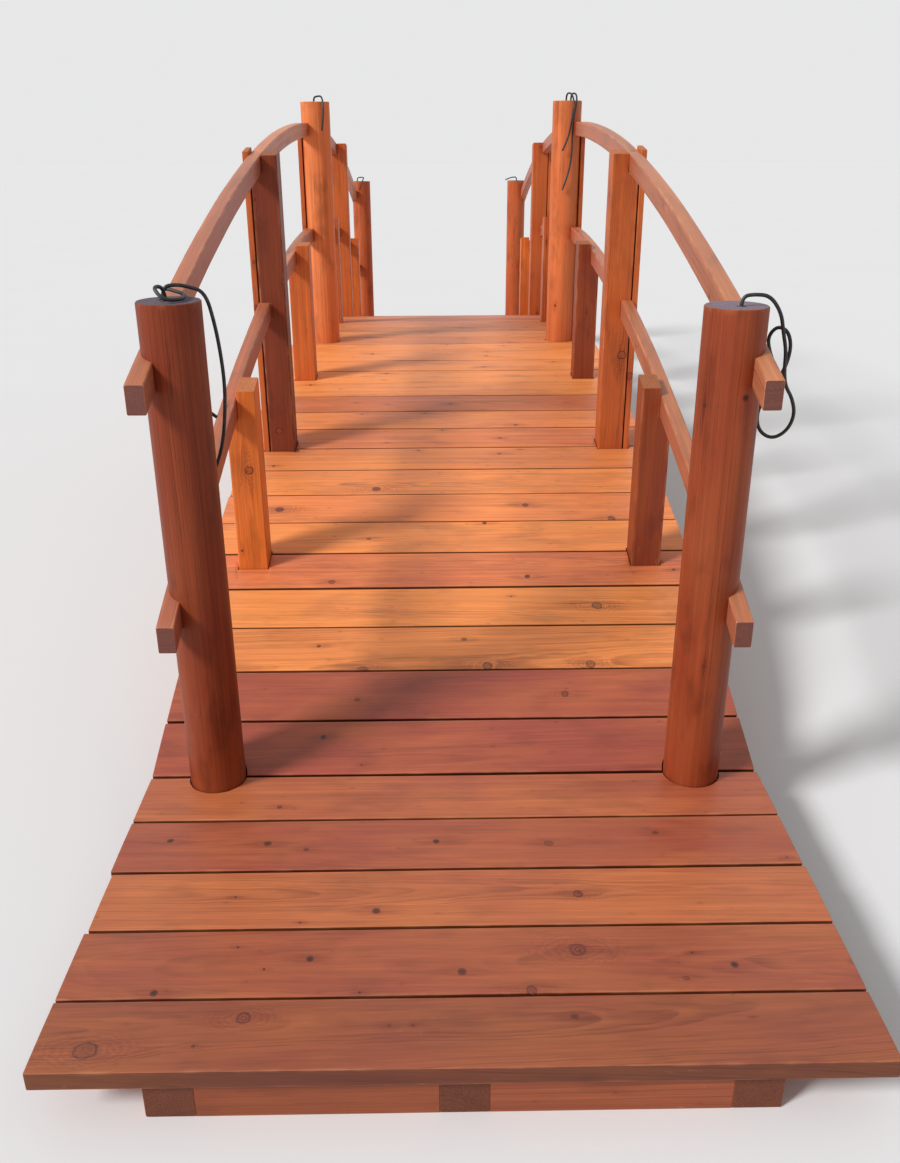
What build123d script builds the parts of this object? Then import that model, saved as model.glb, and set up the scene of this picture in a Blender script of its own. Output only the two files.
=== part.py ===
from build123d import *
import math
import os

# Moon bridge: an arched garden footbridge of stained softwood, in millimetres.
# +Y is the way across, +X is on the right of someone crossing, +Z is up.
# The origin is at ground level under the crown, halfway along and across.

# Deck
ARCH_SPAN = 6297
ARCH_RADIUS = 10000
DECK_WIDTH = 1500
BOARD_WIDTH = 175
END_BOARD_WIDTH = 160
BOARD_THICKNESS = 40
LEAST_BOARD_GAP = 8
BOARD_EASING = 2
APPROACH_BOARDS = 5

# Timbers under the deck
BEARER_HEIGHT = 90
STRINGER_WIDTH = 90
STRINGER_DEPTH = 190
BRACE_THICKNESS = 41
BRACE_DEPTH = 120
BRACE_DROP = 12
BEARER_SETBACK = 20

# Posts
ROUND_POST_DIAMETER = 134
ROUND_POST_CHAMFER = 2
SQUARE_POST_WIDTH = 90
POST_EASING = 3
POST_SETBACK = 95
END_POST_ABOVE_DECK = 1140
NEAR_LEFT_POST_EXTRA = 17
CROWN_POST_ABOVE_DECK = 1100
NOTCH_CLEARANCE = 3

# Places of the square posts, as shares of the way from the crown to the end posts
TALL_POST_SHARE = 0.4844
OUTER_SHORT_POST_SHARE = 0.7305
INNER_SHORT_POST_SHARE = 0.2335

# Heads of the short posts, over the lower rail
OUTER_SHORT_POST_ABOVE_RAIL = 22
INNER_SHORT_POST_ABOVE_RAIL = 20

# Rails
RAIL_WIDTH = 40
RAIL_HEIGHT = 60
RAIL_EASING = 3
TOP_RAIL_ABOVE_DECK = 1010
LOWER_RAIL_ABOVE_DECK = 545
LOWER_RAIL_RADIUS = 9600
TOP_RAIL_TAIL = 145
LOWER_RAIL_TAIL = 133
RAIL_BUTT_GAP = 2
HOUSING_DEPTH = 35
HOUSING_CLEARANCE = 0.3

# Boards outside the posts that clamp the rails
CHEEK_THICKNESS = 19
CHEEK_ABOVE_RAIL = 12
STRIP_WIDTH = 70

# Lamp cables out of the heads of the round posts
CABLE_DIAMETER = 8

# Places that follow from the sizes above
SPRING_Y = ARCH_SPAN / 2
SPRING_ANGLE = math.asin(SPRING_Y / ARCH_RADIUS)
ARCH_LENGTH = 2 * SPRING_ANGLE * ARCH_RADIUS
ARCH_BOARDS = 2 * math.floor((ARCH_LENGTH / (BOARD_WIDTH + LEAST_BOARD_GAP) - 1) / 2) + 1
BOARD_PITCH = ARCH_LENGTH / ARCH_BOARDS
BOARD_GAP = BOARD_PITCH - BOARD_WIDTH
TALL_POST_Y = TALL_POST_SHARE * SPRING_Y
OUTER_SHORT_POST_Y = OUTER_SHORT_POST_SHARE * SPRING_Y
INNER_SHORT_POST_Y = INNER_SHORT_POST_SHARE * SPRING_Y
APPROACH_LEVEL = BEARER_HEIGHT + BOARD_THICKNESS
ARCH_CENTRE_Z = APPROACH_LEVEL - ARCH_RADIUS * math.cos(SPRING_ANGLE)
CROWN_LEVEL = ARCH_CENTRE_Z + ARCH_RADIUS
DECK_END_Y = SPRING_Y + (APPROACH_BOARDS - 1) * BOARD_PITCH + BOARD_GAP / 2 + END_BOARD_WIDTH
STRINGER_TOP_RADIUS = ARCH_RADIUS - BOARD_THICKNESS
STRINGER_BOTTOM_RADIUS = STRINGER_TOP_RADIUS - STRINGER_DEPTH
POST_FACE_X = DECK_WIDTH / 2 - POST_SETBACK
STRINGER_FACE_X = POST_FACE_X - SQUARE_POST_WIDTH
ROUND_POST_RADIUS = ROUND_POST_DIAMETER / 2
ROUND_POST_X = POST_FACE_X - ROUND_POST_RADIUS
SQUARE_POST_X = STRINGER_FACE_X + SQUARE_POST_WIDTH / 2
RAIL_SEAT_X = POST_FACE_X - HOUSING_DEPTH
RAIL_FACE_X = RAIL_SEAT_X + RAIL_WIDTH
CHEEK_FACE_X = RAIL_FACE_X + CHEEK_THICKNESS
TOP_RAIL_LEVEL = CROWN_LEVEL + TOP_RAIL_ABOVE_DECK
TOP_RAIL_RADIUS = ARCH_RADIUS + TOP_RAIL_ABOVE_DECK
LOWER_RAIL_LEVEL = CROWN_LEVEL + LOWER_RAIL_ABOVE_DECK
REACH = 2 * DECK_END_Y
SIDES = {"left": -1, "right": 1}
ENDS = {"near": -1, "far": 1}
POST_PLACES = {"near": -1, "crown": 0, "far": 1}

# Each lamp cable leaves the head of its post straight up. Its corners are counted from the middle of
# that head, to the right, away from the near end and up, in hundredths of the post's radius.
CABLE_ROUTES = {
    "lamp_cable_near_left_long": (
        "left",
        "near",
        [
            (-21, 24, 0), (-21, 24, 36), (15, 34, 44), (53, 48, 36), (101, 69, 16),
            (121, 72, -81), (131, 77, -182), (133, 87, -283), (123, 95, -382), (107, 108, -471),
            (81, 119, -550), (52, 132, -609),
        ],
    ),
    "lamp_cable_near_left_short": (
        "left",
        "near",
        [
            (-6, -9, 0), (-6, -9, 43), (-32, -51, 48), (2, -74, 13), (40, -51, 9),
            (55, -3, 9), (40, 51, 13), (6, 77, 18), (-36, 100, 26), (-51, 134, -21),
            (-32, 146, -95), (-8, 149, -188), (6, 148, -277), (36, 148, -368), (86, 146, -403),
        ],
    ),
    "lamp_cable_near_right": (
        "right",
        "near",
        [
            (9, -18, 0), (9, -18, 30), (49, -20, 36), (98, -15, 30), (140, -6, -24),
            (156, 4, -84), (174, 11, -143), (178, 18, -206), (188, 22, -257), (220, 31, -302),
            (239, 45, -361), (224, 60, -418), (182, 74, -448), (140, 90, -424), (130, 101, -370),
            (154, 114, -320), (177, 122, -269), (181, 129, -215), (158, 130, -164), (145, 119, -118),
            (165, 101, -81), (196, 84, -92), (209, 72, -137), (201, 66, -191), (179, 63, -244),
            (156, 69, -293),
        ],
    ),
    "lamp_cable_crown_left": (
        "left",
        "crown",
        [
            (-8, 15, 0), (-8, 15, 30), (26, -30, 35), (58, -80, 33), (70, -124, -28),
            (65, -127, -111), (52, -121, -185),
        ],
    ),
    "lamp_cable_crown_right_long": (
        "right",
        "crown",
        [
            (24, 9, 0), (24, 9, 41), (42, -32, 49), (53, -84, 32), (49, -125, -27),
            (32, -125, -114), (28, -122, -209), (30, -122, -313), (21, -122, -412), (0, -124, -498),
            (-30, -125, -576),
        ],
    ),
    "lamp_cable_crown_right_short": (
        "right",
        "crown",
        [
            (-9, 3, 0), (-9, 3, 41), (6, -45, 51), (24, -98, 32), (31, -143, -27),
            (21, -145, -104), (9, -140, -185), (-9, -135, -257), (-39, -129, -320),
        ],
    ),
    "lamp_cable_far_left": (
        "left",
        "far",
        [
            (-45, 21, 0), (-45, 21, 39), (-3, 9, 43), (34, -32, 42), (32, -90, 32),
            (11, -129, -21), (-15, -125, -84),
        ],
    ),
    "lamp_cable_far_right": (
        "right",
        "far",
        [
            (3, 0, 0), (3, 0, 36), (-34, -6, 39), (-84, -11, 27), (-125, -18, 9),
        ],
    ),
}


def arc_z(radius, crown_z, y):
    """Height of an arc with its highest point at crown_z, at a distance y from the crown."""
    return crown_z - radius + math.sqrt(radius**2 - y**2)


def arched_band(radius, crown_z, depth, y_from, y_to, x_from, x_to):
    """A curved timber between two arcs with one centre, its ends cut plumb."""
    inner_radius = radius - depth
    inner_crown = crown_z - depth
    y_middle = (y_from + y_to) / 2
    top = [(y, arc_z(radius, crown_z, y)) for y in (y_from, y_middle, y_to)]
    bottom = [(y, arc_z(inner_radius, inner_crown, y)) for y in (y_from, y_middle, y_to)]
    outline = ThreePointArc(*top) + Line(top[2], bottom[2]) + ThreePointArc(*bottom) + Line(bottom[0], top[0])
    plane = Plane(origin=(x_from, 0, 0), x_dir=(0, 1, 0), z_dir=(1, 0, 0))
    return extrude(plane * make_face(outline), x_to - x_from)


def across(side, x_near, x_far):
    """The two X faces of a piece on one side of the bridge, lower value first."""
    return sorted((side * x_near, side * x_far))


def on_arch(y_arc, radius):
    """A place on an arc about the deck's centre, turned to stand square on it."""
    angle = -math.degrees(y_arc / ARCH_RADIUS)
    return Pos(0, 0, ARCH_CENTRE_Z) * Rot(X=angle) * Pos(0, 0, radius)


def rail_space(radius, crown_z, side):
    """What a rail needs inside a post: its own curve with a little room over and under it."""
    x_from, x_to = across(side, RAIL_SEAT_X, RAIL_SEAT_X + ROUND_POST_DIAMETER)
    room = HOUSING_CLEARANCE
    reach = SPRING_Y + ROUND_POST_DIAMETER
    return arched_band(radius + room, crown_z + room, RAIL_HEIGHT + 2 * room, -reach, reach, x_from, x_to)


def top_rail_space(side):
    return rail_space(TOP_RAIL_RADIUS, TOP_RAIL_LEVEL, side)


def lower_rail_space(side):
    return rail_space(LOWER_RAIL_RADIUS, LOWER_RAIL_LEVEL, side)


def board_blank(width):
    """One deck board, flat on its underside, its two long top edges eased."""
    board = Box(DECK_WIDTH, width, BOARD_THICKNESS)
    top_edges = board.faces().sort_by(Axis.Z)[-1].edges().filter_by(Axis.X)
    return fillet(top_edges, BOARD_EASING)


def post_holes():
    """The room that each post takes in the deck, with the post's place along the bridge."""
    holes = []
    tall = SPRING_Y * 2
    room = NOTCH_CLEARANCE
    for side in SIDES.values():
        for y in (-SPRING_Y, 0, SPRING_Y):
            hole = Cylinder(ROUND_POST_RADIUS + room, tall)
            holes.append((y, Pos(side * ROUND_POST_X, y, 0) * hole))
        for end in ENDS.values():
            for place in (OUTER_SHORT_POST_Y, INNER_SHORT_POST_Y):
                hole = Box(SQUARE_POST_WIDTH + 2 * room, SQUARE_POST_WIDTH + 2 * room, tall)
                holes.append((end * place, Pos(side * SQUARE_POST_X, end * place, 0) * hole))
            x_from, x_to = across(side, STRINGER_FACE_X - room, CHEEK_FACE_X + room)
            hole = Box(x_to - x_from, SQUARE_POST_WIDTH + 2 * room, tall)
            holes.append((end * TALL_POST_Y, Pos((x_from + x_to) / 2, end * TALL_POST_Y, 0) * hole))
    return holes


def notched(board, y_board, holes):
    """A placed board with the room for the posts that stand in it cut away."""
    for y_post, hole in holes:
        if abs(y_post - y_board) < BOARD_WIDTH / 2 + ROUND_POST_RADIUS + NOTCH_CLEARANCE:
            board = board - hole
    return board


def arch_board(number, blank, holes):
    """Board number 0 lies on the crown, and the numbers fall towards the near end."""
    y_arc = number * BOARD_PITCH
    board = on_arch(y_arc, ARCH_RADIUS - BOARD_THICKNESS / 2) * blank
    return notched(board, ARCH_RADIUS * math.sin(y_arc / ARCH_RADIUS), holes)


def arch_boards(numbers, blank, holes):
    return Compound(children=[arch_board(number, blank, holes) for number in numbers])


def approach_boards(end, blank, holes):
    """The level boards between the foot of the arch and the end of the deck, the last one narrower."""
    level = APPROACH_LEVEL - BOARD_THICKNESS / 2
    boards = []
    for number in range(APPROACH_BOARDS - 1):
        y = end * (SPRING_Y + (number + 0.5) * BOARD_PITCH)
        boards.append(notched(Pos(0, y, level) * blank, y, holes))
    y = end * (DECK_END_Y - END_BOARD_WIDTH / 2)
    boards.append(notched(Pos(0, y, level) * board_blank(END_BOARD_WIDTH), y, holes))
    return Compound(children=boards)


def arch_stringer(x_from, x_to):
    """An arched beam under the deck, its feet cut flat to sit on the ground."""
    top_z = ARCH_CENTRE_Z + STRINGER_TOP_RADIUS
    beam = arched_band(STRINGER_TOP_RADIUS, top_z, STRINGER_DEPTH, -SPRING_Y, SPRING_Y, x_from, x_to)
    ground = Pos(0, 0, -ARCH_RADIUS / 2) * Box(REACH, REACH, ARCH_RADIUS)
    return beam - ground


def bearer(end, x_centre):
    """A level timber on the ground that carries the approach boards."""
    y_from = SPRING_Y
    y_to = DECK_END_Y - BEARER_SETBACK
    block = Box(STRINGER_WIDTH, y_to - y_from, BEARER_HEIGHT)
    return Pos(x_centre, end * (y_from + y_to) / 2, BEARER_HEIGHT / 2) * block


def bearers(end):
    side_x = STRINGER_FACE_X - STRINGER_WIDTH / 2
    return Compound(children=[bearer(end, x) for x in (-side_x, 0, side_x)])


def cross_braces():
    """Short boards on edge between the stringers, and across the ends of the bearers."""
    inner = STRINGER_WIDTH / 2
    outer = STRINGER_FACE_X - STRINGER_WIDTH
    length = outer - inner
    x_centre = (inner + outer) / 2
    arch_brace = Box(length, BRACE_THICKNESS, BRACE_DEPTH)
    end_brace = Box(length, BRACE_THICKNESS, BEARER_HEIGHT)
    radius = STRINGER_TOP_RADIUS - BRACE_DROP - BRACE_DEPTH / 2
    end_y = DECK_END_Y - BEARER_SETBACK - BRACE_THICKNESS / 2
    braces = []
    for side in SIDES.values():
        for y in (-OUTER_SHORT_POST_Y, -TALL_POST_Y, -INNER_SHORT_POST_Y, 0):
            braces.append(on_arch(y, radius) * Pos(side * x_centre, 0, 0) * arch_brace)
        for y in (INNER_SHORT_POST_Y, TALL_POST_Y, OUTER_SHORT_POST_Y):
            braces.append(on_arch(y, radius) * Pos(side * x_centre, 0, 0) * arch_brace)
        for end in ENDS.values():
            braces.append(Pos(side * x_centre, end * end_y, BEARER_HEIGHT / 2) * end_brace)
    return Compound(children=braces)


def round_post(side, y, foot_z, head_z, shoulder_z):
    """A turned post, flatted below the deck to seat on the stringer, and housed for both rails."""
    height = head_z - foot_z
    post = Pos(0, 0, foot_z + height / 2) * Cylinder(ROUND_POST_RADIUS, height)
    post = chamfer(post.edges().sort_by(Axis.Z)[-1], ROUND_POST_CHAMFER)
    post = Pos(side * ROUND_POST_X, y, 0) * post
    flat_height = shoulder_z - foot_z
    flat = Box(ROUND_POST_DIAMETER, 2 * ROUND_POST_DIAMETER, flat_height)
    flat_x = side * (STRINGER_FACE_X - ROUND_POST_RADIUS)
    post = post - Pos(flat_x, y, foot_z + flat_height / 2) * flat
    return post - top_rail_space(side) - lower_rail_space(side)


def head_level(side, place):
    """Height of the head of a round post. The near left one stands a little higher than the others."""
    if place == POST_PLACES["crown"]:
        return CROWN_LEVEL + CROWN_POST_ABOVE_DECK
    extra = NEAR_LEFT_POST_EXTRA if (side, place) == (SIDES["left"], POST_PLACES["near"]) else 0
    return APPROACH_LEVEL + END_POST_ABOVE_DECK + extra


def end_post(side, end):
    """A post at the foot of the arch that stands on the ground."""
    shoulder_z = arc_z(STRINGER_TOP_RADIUS, CROWN_LEVEL - BOARD_THICKNESS, SPRING_Y - ROUND_POST_RADIUS)
    return round_post(side, end * SPRING_Y, 0, head_level(side, end), shoulder_z)


def crown_post(side):
    """The post at the middle of the bridge, hung on the side of the stringer."""
    stringer_top = CROWN_LEVEL - BOARD_THICKNESS
    return round_post(side, 0, stringer_top - STRINGER_DEPTH, head_level(side, 0), stringer_top)


def stringer_underside(y):
    """Height of the underside of the stringers at a distance y from the crown."""
    return arc_z(STRINGER_BOTTOM_RADIUS, ARCH_CENTRE_Z + STRINGER_BOTTOM_RADIUS, y)


def square_blank(side, y, foot_z, head_z):
    """A square post with its four long edges eased."""
    height = head_z - foot_z
    post = Box(SQUARE_POST_WIDTH, SQUARE_POST_WIDTH, height)
    post = chamfer(post.edges().filter_by(Axis.Z), POST_EASING)
    return Pos(side * SQUARE_POST_X, y, foot_z + height / 2) * post


def trimmed_to_rail(piece, radius, crown_z, side):
    """A piece with what stands above an arc cut off."""
    x_from, x_to = across(side, STRINGER_FACE_X - SQUARE_POST_WIDTH, CHEEK_FACE_X + SQUARE_POST_WIDTH)
    waste = arched_band(radius + REACH, crown_z + REACH, REACH, -SPRING_Y, SPRING_Y, x_from, x_to)
    return piece - waste


def tall_post(side, y):
    """A square post with its head cut to the top rail, which lies in an open housing there."""
    post = square_blank(side, y, stringer_underside(abs(y) + SQUARE_POST_WIDTH / 2), TOP_RAIL_LEVEL)
    post = trimmed_to_rail(post, TOP_RAIL_RADIUS, TOP_RAIL_LEVEL, side)
    return post - top_rail_space(side) - lower_rail_space(side)


def short_post(side, y, above_rail):
    """A square post with an open shoulder for the lower rail. Its inner part stands a little above that rail."""
    head_z = LOWER_RAIL_LEVEL + above_rail
    post = square_blank(side, y, stringer_underside(abs(y) + SQUARE_POST_WIDTH / 2), head_z)
    post = trimmed_to_rail(post, LOWER_RAIL_RADIUS + above_rail, head_z, side)
    x_from, x_to = across(side, RAIL_SEAT_X, CHEEK_FACE_X)
    shoulder = arched_band(
        LOWER_RAIL_RADIUS + REACH, LOWER_RAIL_LEVEL + REACH, REACH, -SPRING_Y, SPRING_Y, x_from, x_to
    )
    return post - lower_rail_space(side) - shoulder


def cheek_board(side, y):
    """The thin board outside a tall post that holds both rails in their housings."""
    x_from, x_to = across(side, RAIL_FACE_X, CHEEK_FACE_X)
    foot_z = stringer_underside(abs(y) + SQUARE_POST_WIDTH / 2)
    head_z = TOP_RAIL_LEVEL + CHEEK_ABOVE_RAIL
    board = Box(CHEEK_THICKNESS, SQUARE_POST_WIDTH, head_z - foot_z)
    board = Pos((x_from + x_to) / 2, y, (foot_z + head_z) / 2) * board
    return trimmed_to_rail(board, TOP_RAIL_RADIUS + CHEEK_ABOVE_RAIL, head_z, side)


def crown_strip(side):
    """The strip on the outside of a crown post, from the deck to the top rail, notched over the lower rail."""
    x_from, x_to = across(side, POST_FACE_X, POST_FACE_X + CHEEK_THICKNESS)
    head_z = TOP_RAIL_LEVEL - RAIL_HEIGHT
    board = Box(CHEEK_THICKNESS, STRIP_WIDTH, head_z - CROWN_LEVEL)
    board = Pos((x_from + x_to) / 2, 0, (CROWN_LEVEL + head_z) / 2) * board
    half = STRIP_WIDTH
    notch_from, notch_to = across(side, RAIL_SEAT_X, RAIL_FACE_X)
    room = HOUSING_CLEARANCE
    over_rail = arched_band(
        LOWER_RAIL_RADIUS + room, LOWER_RAIL_LEVEL + room, RAIL_HEIGHT + 2 * room, -half, half, notch_from, notch_to
    )
    under_rail = arched_band(
        TOP_RAIL_RADIUS, TOP_RAIL_LEVEL, RAIL_HEIGHT + room, -half, half, *across(side, RAIL_SEAT_X, CHEEK_FACE_X)
    )
    return board - over_rail - under_rail


def rail(side, radius, crown_z, tail):
    """An arched rail in four lengths that butt at the crown post and the tall posts."""
    x_from, x_to = across(side, RAIL_SEAT_X, RAIL_FACE_X)
    gap = RAIL_BUTT_GAP / 2
    tip = SPRING_Y + tail
    cuts = [(-tip, -TALL_POST_Y - gap), (-TALL_POST_Y + gap, -gap), (gap, TALL_POST_Y - gap), (TALL_POST_Y + gap, tip)]
    lengths = []
    for y_from, y_to in cuts:
        length = arched_band(radius, crown_z, RAIL_HEIGHT, y_from, y_to, x_from, x_to)
        curved = [edge for edge in length.edges() if edge.geom_type == GeomType.CIRCLE]
        lengths.append(chamfer(curved, RAIL_EASING))
    return Compound(children=lengths)


def cable_corners(side_name, place_name, steps):
    """The corners of a cable's route in the bridge's own frame."""
    place = POST_PLACES[place_name]
    side = SIDES[side_name]
    head = Vector(side * ROUND_POST_X, place * SPRING_Y, head_level(side, place))
    return [head + Vector(*step) * (ROUND_POST_RADIUS / 100) for step in steps]


def cable_bends(corners):
    """The radius of the arc at each corner, as large as the shorter of its two runs allows."""
    radii = []
    for before, corner, after in zip(corners, corners[1:], corners[2:]):
        run_in = corner - before
        run_out = after - corner
        half_turn = math.radians(run_in.get_angle(run_out)) / 2
        radii.append(0.45 * min(run_in.length, run_out.length) / math.tan(half_turn))
    return radii


def lamp_cable(name, route):
    """A cable of straight runs joined by tangent arcs, with its two ends cut square."""
    corners = cable_corners(*route)
    radii = cable_bends(corners)
    path = FilletPolyline(*corners, radius=radii)
    section = Plane(origin=path @ 0, z_dir=path % 0) * Circle(CABLE_DIAMETER / 2)
    cable = sweep(section, path=path)
    expected = math.pi * CABLE_DIAMETER**2 / 4 * path.length
    bends = ", ".join(f"{radius:.0f}" for radius in radii)
    print(f"{name}: length {path.length:.0f}, bends {bends}, volume {cable.volume / expected:.4f} of section x length")
    return cable


def build_nodes():
    """Every piece of the bridge by the name of its file."""
    nodes = {}
    blank = board_blank(BOARD_WIDTH)
    holes = post_holes()
    half = ARCH_BOARDS // 2
    nodes["approach_boards_near"] = approach_boards(-1, blank, holes)
    nodes["approach_boards_far"] = approach_boards(1, blank, holes)
    nodes["arch_boards_near"] = arch_boards(range(-half, 0), blank, holes)
    nodes["arch_board_crown"] = arch_board(0, blank, holes)
    nodes["arch_boards_far"] = arch_boards(range(1, half + 1), blank, holes)
    nodes["stringer_middle"] = arch_stringer(-STRINGER_WIDTH / 2, STRINGER_WIDTH / 2)
    nodes["bearers_near"] = bearers(-1)
    nodes["bearers_far"] = bearers(1)
    nodes["cross_braces"] = cross_braces()
    for name, side in SIDES.items():
        nodes[f"stringer_{name}"] = arch_stringer(*across(side, STRINGER_FACE_X - STRINGER_WIDTH, STRINGER_FACE_X))
        nodes[f"end_posts_{name}"] = Compound(children=[end_post(side, end) for end in ENDS.values()])
        nodes[f"crown_post_{name}"] = crown_post(side)
        nodes[f"crown_strip_{name}"] = crown_strip(side)
        tall = [tall_post(side, end * TALL_POST_Y) for end in ENDS.values()]
        nodes[f"tall_posts_{name}"] = Compound(children=tall)
        cheeks = [cheek_board(side, end * TALL_POST_Y) for end in ENDS.values()]
        nodes[f"cheek_boards_{name}"] = Compound(children=cheeks)
        short = [short_post(side, end * OUTER_SHORT_POST_Y, OUTER_SHORT_POST_ABOVE_RAIL) for end in ENDS.values()]
        short += [short_post(side, end * INNER_SHORT_POST_Y, INNER_SHORT_POST_ABOVE_RAIL) for end in ENDS.values()]
        nodes[f"short_posts_{name}"] = Compound(children=short)
        nodes[f"top_rail_{name}"] = rail(side, TOP_RAIL_RADIUS, TOP_RAIL_LEVEL, TOP_RAIL_TAIL)
        nodes[f"lower_rail_{name}"] = rail(side, LOWER_RAIL_RADIUS, LOWER_RAIL_LEVEL, LOWER_RAIL_TAIL)
    for name, route in CABLE_ROUTES.items():
        nodes[name] = lamp_cable(name, route)
    return nodes


os.makedirs("parts", exist_ok=True)
for node_name, shape in build_nodes().items():
    export_step(shape, f"parts/{node_name}.step")
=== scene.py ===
import math

import bpy
import numpy as np
from mathutils import Matrix, Vector


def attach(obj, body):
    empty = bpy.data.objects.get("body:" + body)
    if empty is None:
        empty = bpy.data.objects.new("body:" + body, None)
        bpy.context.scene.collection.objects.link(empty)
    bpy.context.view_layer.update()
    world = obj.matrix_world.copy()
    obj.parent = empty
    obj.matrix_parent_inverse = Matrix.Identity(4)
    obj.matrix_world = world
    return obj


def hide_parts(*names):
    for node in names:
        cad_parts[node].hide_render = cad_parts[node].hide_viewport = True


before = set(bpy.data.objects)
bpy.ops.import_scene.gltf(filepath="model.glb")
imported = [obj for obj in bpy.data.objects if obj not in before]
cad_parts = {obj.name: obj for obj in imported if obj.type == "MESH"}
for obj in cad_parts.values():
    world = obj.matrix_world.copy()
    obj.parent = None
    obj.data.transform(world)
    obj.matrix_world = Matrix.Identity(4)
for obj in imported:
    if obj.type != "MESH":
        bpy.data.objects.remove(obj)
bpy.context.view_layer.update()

# Moon bridge in metres: +Y is the way across, +X is on the right of someone crossing, +Z is up.

ARCH_SPAN = 6.297
ARCH_RADIUS = 10.0
DECK_WIDTH = 1.5
BOARD_WIDTH = 0.175
END_BOARD_WIDTH = 0.160
BOARD_THICKNESS = 0.040
ARCH_BOARDS = 35
APPROACH_BOARDS = 5
BEARER_HEIGHT = 0.090
STRINGER_WIDTH = 0.090
STRINGER_DEPTH = 0.190
BRACE_THICKNESS = 0.041
BRACE_DEPTH = 0.120
BRACE_DROP = 0.012
BEARER_SETBACK = 0.020
ROUND_POST_RADIUS = 0.067
SQUARE_POST_WIDTH = 0.090
POST_SETBACK = 0.095
END_POST_ABOVE_DECK = 1.140
NEAR_LEFT_POST_EXTRA = 0.017
CROWN_POST_ABOVE_DECK = 1.100
NOTCH_CLEARANCE = 0.003
RAIL_WIDTH = 0.040
RAIL_HEIGHT = 0.060
TOP_RAIL_ABOVE_DECK = 1.010
LOWER_RAIL_ABOVE_DECK = 0.545
LOWER_RAIL_RADIUS = 9.600
TOP_RAIL_TAIL = 0.145
LOWER_RAIL_TAIL = 0.133
RAIL_BUTT_GAP = 0.002
RAIL_STRIP_GAP = 0.0003
HOUSING_DEPTH = 0.035
CHEEK_THICKNESS = 0.019
CHEEK_ABOVE_RAIL = 0.012
STRIP_WIDTH = 0.070
CABLE_DIAMETER = 0.008

SPRING_Y = ARCH_SPAN / 2
SPRING_ANGLE = math.asin(SPRING_Y / ARCH_RADIUS)
BOARD_PITCH = 2 * SPRING_ANGLE * ARCH_RADIUS / ARCH_BOARDS
TALL_POST_Y = 0.4844 * SPRING_Y
SHORT_POST_YS = (0.7305 * SPRING_Y, 0.2335 * SPRING_Y)
SHORT_POSTS_ABOVE_RAIL = (0.022, 0.020)
APPROACH_LEVEL = BEARER_HEIGHT + BOARD_THICKNESS
ARCH_CENTRE_Z = APPROACH_LEVEL - ARCH_RADIUS * math.cos(SPRING_ANGLE)
CROWN_LEVEL = ARCH_CENTRE_Z + ARCH_RADIUS
END_BOARD_FROM = SPRING_Y + (APPROACH_BOARDS - 1) * BOARD_PITCH + (BOARD_PITCH - BOARD_WIDTH) / 2
DECK_END_Y = END_BOARD_FROM + END_BOARD_WIDTH
STRINGER_TOP_RADIUS = ARCH_RADIUS - BOARD_THICKNESS
STRINGER_BOTTOM_RADIUS = STRINGER_TOP_RADIUS - STRINGER_DEPTH
POST_FACE_X = DECK_WIDTH / 2 - POST_SETBACK
STRINGER_FACE_X = POST_FACE_X - SQUARE_POST_WIDTH
ROUND_POST_X = POST_FACE_X - ROUND_POST_RADIUS
RAIL_SEAT_X = POST_FACE_X - HOUSING_DEPTH
RAIL_FACE_X = RAIL_SEAT_X + RAIL_WIDTH
CHEEK_FACE_X = RAIL_FACE_X + CHEEK_THICKNESS
TOP_RAIL_RADIUS = ARCH_RADIUS + TOP_RAIL_ABOVE_DECK
LOWER_RAIL_CENTRE_Z = CROWN_LEVEL + LOWER_RAIL_ABOVE_DECK - LOWER_RAIL_RADIUS
END_HEAD_Z = APPROACH_LEVEL + END_POST_ABOVE_DECK
CROWN_HEAD_Z = CROWN_LEVEL + CROWN_POST_ABOVE_DECK
SIDES = {"left": -1, "right": 1}
ENDS = {"near": -1, "far": 1}
PLACES = {"near": -1, "crown": 0, "far": 1}


def add_object(name, data):
    thing = bpy.data.objects.new(name, data)
    bpy.context.scene.collection.objects.link(thing)
    return thing


# Camera

PHOTO_HEIGHT = 1163
FOCAL_LENGTH = 1051.4
SENSOR_WIDTH = 36
CAMERA_PLACE = (-0.0398, -5.3736, 1.6009)
CAMERA_YAW = math.radians(0.750)
CAMERA_PITCH = math.radians(23.080)
CAMERA_ROLL = math.radians(0.257)


def make_camera():
    """A camera turned by its yaw to the right, its pitch down and its roll, with a focal length in pixels."""
    flat = math.cos(CAMERA_PITCH)
    ahead = Vector((math.sin(CAMERA_YAW) * flat, math.cos(CAMERA_YAW) * flat, -math.sin(CAMERA_PITCH)))
    level = Vector((math.cos(CAMERA_YAW), -math.sin(CAMERA_YAW), 0))
    under = ahead.cross(level)
    right = math.cos(CAMERA_ROLL) * level + math.sin(CAMERA_ROLL) * under
    down = -math.sin(CAMERA_ROLL) * level + math.cos(CAMERA_ROLL) * under
    data = bpy.data.cameras.new("camera")
    data.sensor_width = SENSOR_WIDTH
    data.lens = FOCAL_LENGTH / PHOTO_HEIGHT * SENSOR_WIDTH
    data.clip_end = 200
    camera = add_object("camera", data)
    turn = Matrix((right, -down, -ahead)).transposed().to_4x4()
    camera.matrix_world = Matrix.Translation(CAMERA_PLACE) @ turn
    bpy.context.scene.camera = camera


make_camera()


# Shader graphs


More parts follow.
